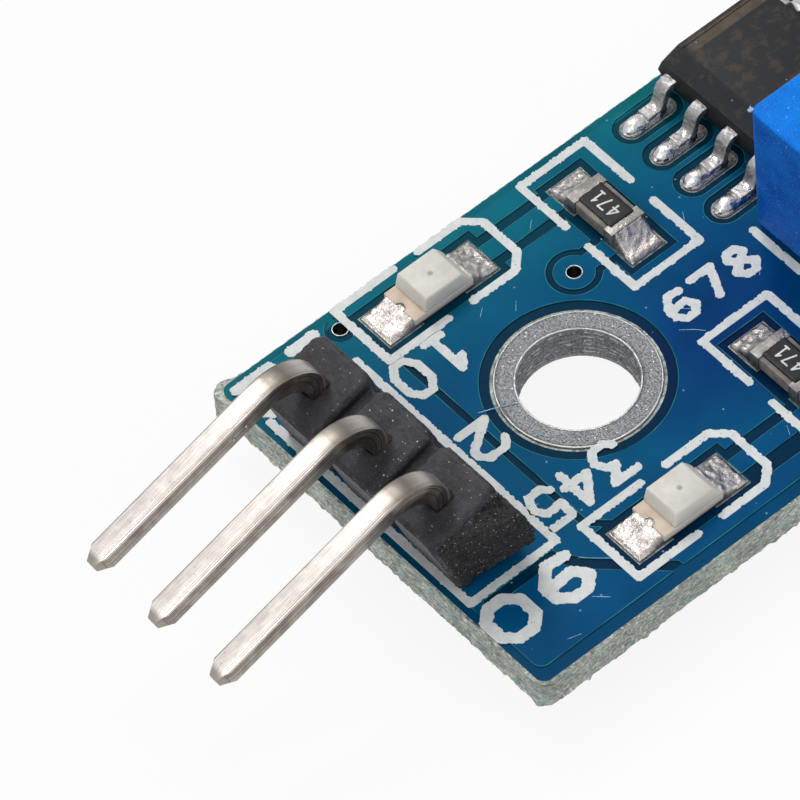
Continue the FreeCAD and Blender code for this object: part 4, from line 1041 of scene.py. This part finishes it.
def makeBoardEdge(setup):
    left, right, front, back = (setup[key] for key in ("left", "right", "front", "back"))
    slab = block("boardEdge", at(left, front, setup["bottom"]), at(right, back, setup["top"]))
    enter(slab, "EDGE")
    mesh = bmesh.from_edit_mesh(slab.data)
    for edge in mesh.edges:
        run = edge.verts[0].co - edge.verts[1].co
        edge.select_set(abs(run.z) > abs(run.x) + abs(run.y))
    bmesh.update_edit_mesh(slab.data)
    bpy.ops.mesh.bevel(offset=setup["corner"] * mm, segments=4)
    bpy.ops.mesh.select_mode(type="FACE")
    pickFaces(slab, lambda place, normal: abs(normal.z) > 0.9)
    bpy.ops.mesh.inset(thickness=setup["width"] * mm)
    bpy.ops.mesh.bridge_edge_loops()
    leave()
    modify(slab, "REMESH", mode="SMOOTH", octree_depth=setup["depth"], scale=0.97)
    cornerX, cornerY, spread, swell = setup["bulge"]
    middle = Vector(((left + right) / 2, (front + back) / 2, 0)) * mm
    half = Vector(((right - left) / 2, (back - front) / 2, 0)) * mm
    for vertex, (place, normal) in spots(slab):
        offset = place - middle
        outside = max(abs(offset.x) - half.x, abs(offset.y) - half.y)
        if outside < -setup["rimWidth"] * mm:
            continue
        wave = noise.fractal(place / (setup["size"] * mm), 1.0, 2.0, 4)
        push = setup["push"] + setup["reach"] * (0.5 + 0.5 * wave)
        away = math.hypot(place.x / mm - cornerX, place.y / mm - cornerY)
        push += swell * max(0.0, 1 - away / spread) ** 2
        flat = Vector((normal.x, normal.y, 0))
        if flat.length > 0.3:
            vertex.co += flat.normalized() * push * mm
        if place.z < setup["tearLevel"] * mm:
            tear = noise.fractal(place / (setup["tearSize"] * mm), 0.9, 2.0, 4)
            vertex.co.z -= max(0.0, tear) * setup["tearReach"] * mm
    finished(slab, "laminate", angle=60)


makeBoardEdge(boardEdge)

viaRims = {
    "places": ((2.33, 2.83), (-3.60, 5.72), (17.12, 0.60), (14.72, 0.20)), "inner": 0.205, "outer": 0.246,
    "level": 0.052, "rise": 0.022, "drop": 0.03, "steps": 36,
}


def makeViaRims(setup):
    inner, outer, level, rise = (setup[key] for key in ("inner", "outer", "level", "rise"))
    low = level - setup["drop"]
    profile = [(outer, level), (outer - 0.008, level + rise * 0.8), ((inner + outer) / 2, level + rise),
               (inner + 0.008, level + rise * 0.8), (inner, level), (inner + 0.005, low),
               (outer - 0.005, low), (outer, level)]
    firstX, firstY = setup["places"][0]
    first = lathed("viaRims", profile, setup["steps"], (firstX, firstY))
    others = [copied(first, "viaRim", at(x - firstX, y - firstY, 0)) for x, y in setup["places"][1:]]
    finished(joined("viaRims", [first, *others]), "rimTin", angle=60)


makeViaRims(viaRims)

scratches = {
    "thick": 0.012 * mm, "cell": 0.010 * mm, "grit": 0.05 * mm,
    # piece, level, then half width and points of each scratch
    "pieces": (
        ("boardScratches", 0.066, (
            (0.010, ((3.10, -0.62), (3.42, -0.90), (3.60, -1.12))), (0.009, ((3.62, -0.10), (3.92, -0.40))),
            (0.011, ((-3.90, -4.50), (-3.62, -4.80), (-3.30, -5.10))),
            (0.010, ((-4.50, -5.70), (-4.15, -6.05))), (0.008, ((0.30, 2.92), (0.52, 3.16))),
            (0.010, ((-0.55, 3.42), (-0.30, 3.62))), (0.008, ((5.95, -0.70), (6.22, -0.40))),
            (0.009, ((5.70, 2.10), (5.86, 2.36))), (0.009, ((-2.05, -0.62), (-1.92, -0.78), (-1.98, -0.92))),
            (0.008, ((2.92, -5.30), (3.06, -5.02))), (0.008, ((-5.90, -6.30), (-5.52, -6.42))),
            (0.009, ((2.40, 4.75), (2.66, 4.98))))),
        ("ringScratch", 0.082, ((0.014, ((-2.72, 0.98), (-2.30, 0.80), (-1.72, 0.52))),)),
    ),
}


def makeScratches(setup):
    for name, level, lines in setup["pieces"]:
        items = [printed(name, inMetres([points]), half * mm, setup["cell"], level * mm, setup["thick"],
                         half * mm * 0.5, setup["grit"]) for half, points in lines]
        finished(joined(name, items), "scratch", flat=True)


makeScratches(scratches)

pourEdges = {"low": 0.02, "high": 0.05, "thick": 0.024, "lift": 0.004}


def makePourEdges(setup):
    # the steps of the mask over the copper's edges catch the light as thin lines
    item = takenFrom("pourEdges", "solder_mask_top")
    enter(item)
    pickFaces(item, lambda place, normal: abs(normal.z) >= 0.3
              or not setup["low"] * mm < place.z < setup["high"] * mm)
    bpy.ops.mesh.delete(type="FACE")
    leave()
    modify(item, "SOLIDIFY", thickness=setup["thick"] * mm, offset=1)
    for vertex in item.data.vertices:
        vertex.co.z += setup["lift"] * mm
    finished(item, "pourEdge", flat=True)


makePourEdges(pourEdges)
print("board edge, rims and scratches made")


# Header: grainy housing with a snapped end, and three bent pins

housing = {
    "voxel": 0.048, "edge": 0.035, "grain": 0.010, "grainSize": 0.07, "burr": 0.040, "burrSize": 0.15,
    "edgeGain": 4, "foot": (-6.90, 0.055), "lean": 18.32, "endY": -3.10, "stub": 0.5,
    # corners of the snapped end as depth and height, how far out each of them broke, its roughness
    "snap": ((-0.02, 0.0), (-0.02, 2.30), (0.95, 2.44), (2.38, 2.10), (2.44, 0.9), (2.30, 0.0)),
    "snapY": (-3.02, -3.06, -3.50, -4.02, -3.96, -3.72), "snapReach": 0.055, "snapSize": 0.17,
    "pit": 0.030, "pitSize": 0.08, "snapFrom": -2.98, "snapBelow": 2.56,
}


def makeBrokenEnd(setup):
    # a fan of faces from the cell out to the break, roughened afterwards
    lean = math.radians(setup["lean"])
    footX, footZ = setup["foot"]
    bpy.ops.object.select_all(action="DESELECT")
    bpy.ops.mesh.primitive_circle_add(vertices=len(setup["snap"]), radius=1 * mm, fill_type="NGON")
    broken = begun("brokenEnd")
    for vertex, (u, w) in zip(broken.data.vertices, setup["snap"]):
        vertex.co = Vector((footX + u * math.cos(lean) - w * math.sin(lean), setup["endY"] + setup["stub"],
                            footZ + u * math.sin(lean) + w * math.cos(lean))) * mm
    enterAll(broken)
    bpy.ops.mesh.extrude_region_move(TRANSFORM_OT_translate={"value": (0, -setup["stub"] * mm, 0)})
    leave()
    for vertex, y in zip(broken.data.vertices[len(setup["snap"]):], setup["snapY"]):
        vertex.co.y = y * mm
    enterAll(broken)
    bpy.ops.mesh.normals_make_consistent(inside=False)
    leave()
    return broken


def makeHousing(setup):
    shell = takenFrom("headerHousing", "header_housing")
    bevelled(shell, setup["edge"])
    shell = joined("headerHousing", [shell, makeBrokenEnd(setup)])
    modify(shell, "REMESH", mode="VOXEL", voxel_size=setup["voxel"] * mm)
    lean = math.radians(setup["lean"])
    up = Vector((-math.sin(lean), 0, math.cos(lean)))
    foot = Vector((setup["foot"][0], 0, setup["foot"][1])) * mm
    for vertex, (place, normal) in spots(shell):
        height = (place - foot).dot(up) / mm
        push = setup["grain"] * noise.fractal(place / (setup["grainSize"] * mm), 1.0, 2.0, 3)
        edge = 1 - max(abs(normal.dot(up)), abs(normal.y), abs(normal.dot(up.cross(Vector((0, 1, 0))))))
        tuft = noise.fractal(place / (setup["burrSize"] * mm), 1.0, 2.0, 4)
        push += setup["burr"] * min(1.0, edge * setup["edgeGain"]) * tuft
        if place.y < setup["snapFrom"] * mm and height < setup["snapBelow"]:
            push += setup["snapReach"] * noise.fractal(place / (setup["snapSize"] * mm), 0.8, 2.1, 5)
            push -= setup["pit"] * max(0.0, noise.noise(place / (setup["pitSize"] * mm)))
        vertex.co += normal * push * mm
    finished(shell, "header_plastic", standsFor=("header_housing",), angle=70)


makeHousing(housing)
for number in (1, 2, 3):
    softened(f"header_pin_{number}", f"headerPin{number}", 0.022, "pin_metal", angle=40, smooth=30)

droplets = ((-9.10, 2.745, 3.59, 0.050), (-9.55, 2.745, 3.41, 0.055))


def makeDroplets(beads):
    items = []
    for x, y, z, radius in beads:
        bead = block("pinDroplets", at(x - radius, y - radius, z - radius),
                     at(x + radius, y + radius, z + radius))
        modify(bead, "SUBSURF", levels=3, render_levels=3)
        items.append(bead)
    finished(joined("pinDroplets", items), "rimTin", angle=80)


makeDroplets(droplets)
print("header made")


# Chip parts: solder on the lands, ends, coats with digits, lamps

padLook = {
    "landTop": 0.058, "thick": 0.02, "lift": 0.004, "inset": 0.015, "cuts": 22, "edge": 0.09, "climb": 1.35,
    "curve": 1.9, "spread": 0.02, "spreadSize": 0.2, "spreadRim": 0.01,
    # the folds: roughness, step between the octaves, octaves, offset and gain of their noise; middle; limits
    "folds": (0.9, 2.1, 3, 1.0, 1.6), "foldMiddle": 0.9, "foldLimits": (-1.0, 1.3),
    # land box, side of the chip, height at the chip, height at the rim, wrinkle, wrinkle size, finish
    "pads": {
        # the fillets that slope away take the darker solder, which is painted shade
        "resistor1Far": ((3.64, 4.84, 4.36, 5.46), "-y", 0.30, 0.07, 0.022, 0.26, "shadedSolder"),
        "resistor1Near": ((3.64, 4.84, 1.92, 3.02), "+y", 0.50, 0.06, 0.030, 0.24, "brightSolder"),
        "resistor2Far": ((3.74, 4.94, -3.05, -1.95), "-y", 0.34, 0.07, 0.030, 0.22, "shadedSolder"),
        "resistor2Near": ((3.74, 4.94, -5.49, -4.39), "+y", 0.48, 0.06, 0.028, 0.22, "brightSolder"),
        "resistor3Far": ((14.97, 16.17, -3.05, -1.95), "-y", 0.34, 0.07, 0.026, 0.24, "shadedSolder"),
        "resistor3Near": ((14.97, 16.17, -5.49, -4.39), "+y", 0.46, 0.06, 0.036, 0.18, "brightSolder"),
        "capacitor1Far": ((14.97, 16.17, 4.07, 5.17), "-y", 0.44, 0.07, 0.026, 0.24, "shadedSolder"),
        "capacitor1Near": ((14.97, 16.17, 1.63, 2.73), "+y", 0.50, 0.06, 0.036, 0.18, "brightSolder"),
        "lamp1Left": ((-2.97, -1.82, 4.35, 5.65), "+x", 0.26, 0.08, 0.034, 0.16, "brightSolder"),
        "lamp1Right": ((-0.22, 0.93, 4.35, 5.65), "-x", 0.24, 0.08, 0.028, 0.26, "shadedSolder"),
        "lamp2Left": ((-2.83, -1.68, -5.71, -4.41), "+x", 0.26, 0.08, 0.036, 0.20, "brightSolder"),
        "lamp2Right": ((-0.08, 1.07, -5.71, -4.41), "-x", 0.24, 0.08, 0.032, 0.18, "shadedSolder"),
    },
}


def makePad(setup, name, box, side, high, low, wrinkle, size, finish):
    # a cushion of solder: low at its rim, climbing to the chip, wrinkled where it set
    x0, x1, y0, y1 = box
    inset, base, thick = setup["inset"], setup["landTop"], setup["thick"]
    lowest, highest = setup["foldLimits"]
    item = divided(block(name, at(x0 + inset, y0 + inset, base), at(x1 - inset, y1 - inset, base + thick)),
                   setup["cuts"])
    for vertex in item.data.vertices:
        x, y = vertex.co.x / mm, vertex.co.y / mm
        rim = min(x - x0, x1 - x, y - y0, y1 - y) - inset
        if vertex.co.z < (base + thick / 2) * mm:
            if rim < setup["spreadRim"]:
                spread = setup["spread"] * mm * noise.noise(vertex.co / (setup["spreadSize"] * mm))
                vertex.co += Vector((spread, spread, 0))
            continue
        toChip = {"+x": (x - x0) / (x1 - x0), "-x": (x1 - x) / (x1 - x0), "+y": (y - y0) / (y1 - y0),
                  "-y": (y1 - y) / (y1 - y0)}[side]
        body = low + (high - low) * min(1.0, toChip * setup["climb"]) ** setup["curve"]
        folds = noise.ridged_multi_fractal(vertex.co / (size * mm), *setup["folds"]) - setup["foldMiddle"]
        folds = wrinkle * max(lowest, min(highest, folds))
        edge = min(1.0, max(0.0, rim) / setup["edge"])
        vertex.co.z = (base + setup["lift"] + (body + folds) * math.sqrt(edge)) * mm
    return finished(item, finish, angle=60)


pads = [makePad(padLook, name, *values) for name, values in padLook["pads"].items()]
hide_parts("chip_solder")
for number in (1, 2, 3):
    item = softened(f"resistor_{number}_ends", f"resistor{number}Ends", 0.030, "end_metal", segments=3)
    roughen(item, 0.010 * mm, 0.12 * mm)
    softened(f"resistor_{number}_ceramic", f"resistor{number}Ceramic", 0.025, "white_ceramic")
softened("capacitor_1_ends", "capacitorEnds", 0.05, "end_metal", segments=3)
softened("capacitor_1_ceramic", "capacitorCeramic", 0.03, "capacitor_ceramic")

coatLook = {
    "coats": (("coat1", "resistor_1_coat", (4.24, 3.66), "471"),
              ("coat2", "resistor_2_coat", (4.34, -3.75), "471"),
              ("coat3", "resistor_3_coat", (15.57, -3.75), "332")),
    "half": (0.415, 0.665), "level": (0.50, 0.625), "cuts": 16, "wave": 0.022, "waveSize": 0.13, "dip": 0.014,
    "dipWidth": 0.03, "digitHeight": 0.42, "digitWidth": 0.22, "digitPitch": 0.345,
    # half width and cell, then thickness, raggedness and grit of the digits
    "digitLines": (0.030 * mm, 0.012 * mm), "digitInk": (0.012 * mm, 0.006 * mm, 0.06 * mm),
    "digitLift": 0.010,
}


def makeCoat(setup, name, node, centre, text):
    x, y = centre
    halfX, halfY = setup["half"]
    low, high = setup["level"]
    item = divided(block(name, at(x - halfX, y - halfY, low), at(x + halfX, y + halfY, high)), setup["cuts"])
    for vertex in item.data.vertices:
        offset = Vector((vertex.co.x - x * mm, vertex.co.y - y * mm, 0))
        rim = max(abs(offset.x) - halfX * mm, abs(offset.y) - halfY * mm)
        wave = noise.fractal(vertex.co / (setup["waveSize"] * mm), 1.0, 2.0, 3)
        vertex.co += offset.normalized() * setup["wave"] * mm * wave
        if vertex.co.z > (high - 0.001) * mm and rim > -setup["dipWidth"] * mm:
            vertex.co.z -= setup["dip"] * mm
    finished(item, "resistor_coat", standsFor=(node,), angle=40)
    width, height, pitch = setup["digitWidth"], setup["digitHeight"], setup["digitPitch"]
    length = pitch * (len(text) - 1) + width
    lines = numeralLines(text, (x + height / 2, y - length / 2), height, width, pitch, 90)
    digits = printed(name + "Digits", inMetres(lines), *setup["digitLines"], (high + setup["digitLift"]) * mm,
                     *setup["digitInk"])
    finished(digits, "digitInk", flat=True)


for coat in coatLook["coats"]:
    makeCoat(coatLook, *coat)
for number in (1, 2):
    softened(f"lamp_{number}_lens", f"lamp{number}Lens", 0.045, "lamp_lens", segments=4, smooth=80)
    softened(f"lamp_{number}_base", f"lamp{number}Base", 0.018, "lamp_base")
print("chip parts made")


# Comparator: bevelled body, hammered leads, solder with a drop at the toe and a bump at the heel

comparator = {
    "edge": 0.045, "depth": 6, "smoothing": 3, "reach": 0.014, "size": 0.11, "middle": (10.21, 3.60),
    "pitch": 1.27, "land": (6.48, 8.01), "landHalf": 0.29, "row": 5.505, "landTop": 0.058, "thick": 0.1,
    "cuts": 26, "endCurve": 4,
    # place, height and spread of the drop at the toe and the bump at the heel
    "toe": (6.86, 0.27, 0.26), "heel": (7.66, 0.30, 0.17), "neckHigh": 0.17,
    "wave": 0.016, "waveSize": 0.14, "waveFrom": 0.08,
}


def leadPlace(number):
    low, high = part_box(f"comparator_lead_{number}")
    return (Vector(low) + Vector(high)) / 2


def makeLeads(setup):
    softened("comparator_body", "comparatorBody", setup["edge"], "package_black", smooth=24)
    lead = takenFrom("comparatorLead", "comparator_lead_1")
    modify(lead, "REMESH", mode="SMOOTH", octree_depth=setup["depth"], scale=0.95)
    modify(lead, "SMOOTH", factor=0.5, iterations=setup["smoothing"])
    first = leadPlace(1)
    for number in range(1, 9):
        place = leadPlace(number)
        turned = abs(place.x - first.x) > 1 * mm
        shift = (place.x + first.x, place.y + first.y, 0) if turned else place - first
        copy = copied(lead, f"comparatorLead{number}", shift, turned)
        roughen(copy, setup["reach"] * mm, setup["size"] * mm)
        finished(copy, "lead_metal", standsFor=(f"comparator_lead_{number}",), angle=70)
    bpy.data.objects.remove(lead)


def makeLeadSolder(setup):
    start, end = setup["land"]
    row, half, base, neck = (setup[key] for key in ("row", "landHalf", "landTop", "neckHigh"))
    cigar = block("comparatorSolder", at(start, row - half, base), at(end, row + half, base + setup["thick"]))
    divided(cigar, setup["cuts"])
    for vertex in cigar.data.vertices:
        x, y = vertex.co.x / mm, vertex.co.y / mm
        across = (y - row) / half
        run = (x - start) / (end - start)
        width = math.sqrt(max(0.0, 1 - abs(2 * run - 1) ** setup["endCurve"]))
        vertex.co.y = (row + across * half * width) * mm
        high = neck
        for place, top, spread in (setup["toe"], setup["heel"]):
            high += (top - neck) * math.exp(-((x - place) / spread) ** 2)
        if vertex.co.z > (base + setup["thick"] * 0.9) * mm:
            vertex.co.z = (base + high * width * math.sqrt(max(0.0, 1 - across ** 2))) * mm
        else:
            vertex.co.z = base * mm + (vertex.co.z - base * mm) * 0.02
    middleX, middleY = (2 * value * mm for value in setup["middle"])
    items = []
    for count in range(8):
        down = setup["pitch"] * mm * (count % 4)
        turned = count > 3
        copy = copied(cigar, "solderCopy", (middleX, middleY - down, 0) if turned else (0, -down, 0), turned)
        roughen(copy, setup["wave"] * mm, setup["waveSize"] * mm,
                lambda place, normal: place.z > setup["waveFrom"] * mm, 3)
        items.append(copy)
    bpy.data.objects.remove(cigar)
    finished(joined("comparatorSolder", items), "smoothSolder", standsFor=("comparator_solder",),
             angle=80)


makeLeads(comparator)
makeLeadSolder(comparator)
print("comparator made")


# Trimmer, sensor and the solder joints of the long leads

burr = {
    "tip": (7.13, 0.66, 5.085), "size": 0.16, "cuts": 4, "narrowing": 0.7, "flattening": 0.8, "drop": 0.04,
    "wave": 0.03, "waveSize": 0.07,
}


def makeBurr(setup):
    # a pale flake at the housing's corner that narrows away from it
    x, y, z = setup["tip"]
    size = setup["size"]
    flake = block("trimmerBurr", at(x - size, y - size * 0.5, z - size * 0.5), at(x, y + size * 0.6, z))
    divided(flake, setup["cuts"])
    for vertex in flake.data.vertices:
        share = (x * mm - vertex.co.x) / (size * mm)
        vertex.co.y += (y * mm - vertex.co.y) * share * setup["narrowing"]
        vertex.co.z += (z * mm - setup["drop"] * mm - vertex.co.z) * share * setup["flattening"]
    roughen(flake, setup["wave"] * mm, setup["waveSize"] * mm)
    finished(flake, "burrPale", angle=30)


softened("trimmer_housing", "trimmerCase", 0.05, "trimmer_blue", segments=3, smooth=40)
softened("trimmer_rotor", "trimmerRotor", 0.05, "rotor_white", body="rotor")
softened("trimmer_seal", "trimmerSeal", 0.03, "seal_rubber")
makeBurr(burr)
for number in (1, 2, 3):
    softened(f"trimmer_pin_{number}", f"trimmerPin{number}", 0.05, "lead_metal")
softened("sensor_capsule", "sensorCapsule", 0.10, "capsule_black", segments=3, smooth=50)
for number in (1, 2):
    softened(f"sensor_lead_{number}", f"sensorLead{number}", 0.03, "lead_metal", angle=60)

joints = {
    "depth": 7, "reach": 0.018 * mm, "size": 0.30 * mm,
    "names": {"header_solder": "headerJoints", "trimmer_solder": "trimmerJoints",
              "sensor_solder": "sensorJoints"},
}


def makeJoints(setup):
    # the CAD form as one skin with soft edges and an uneven surface, as melted metal has
    for node, name in setup["names"].items():
        item = takenFrom(name, node)
        modify(item, "REMESH", mode="SMOOTH", octree_depth=setup["depth"], scale=0.95,
               use_remove_disconnected=False)
        modify(item, "SMOOTH", factor=0.5, iterations=2)
        roughen(item, setup["reach"], setup["size"])
        finished(item, "brightSolder", standsFor=(node,), angle=80)


makeJoints(joints)
print("trimmer, sensor and joints made")
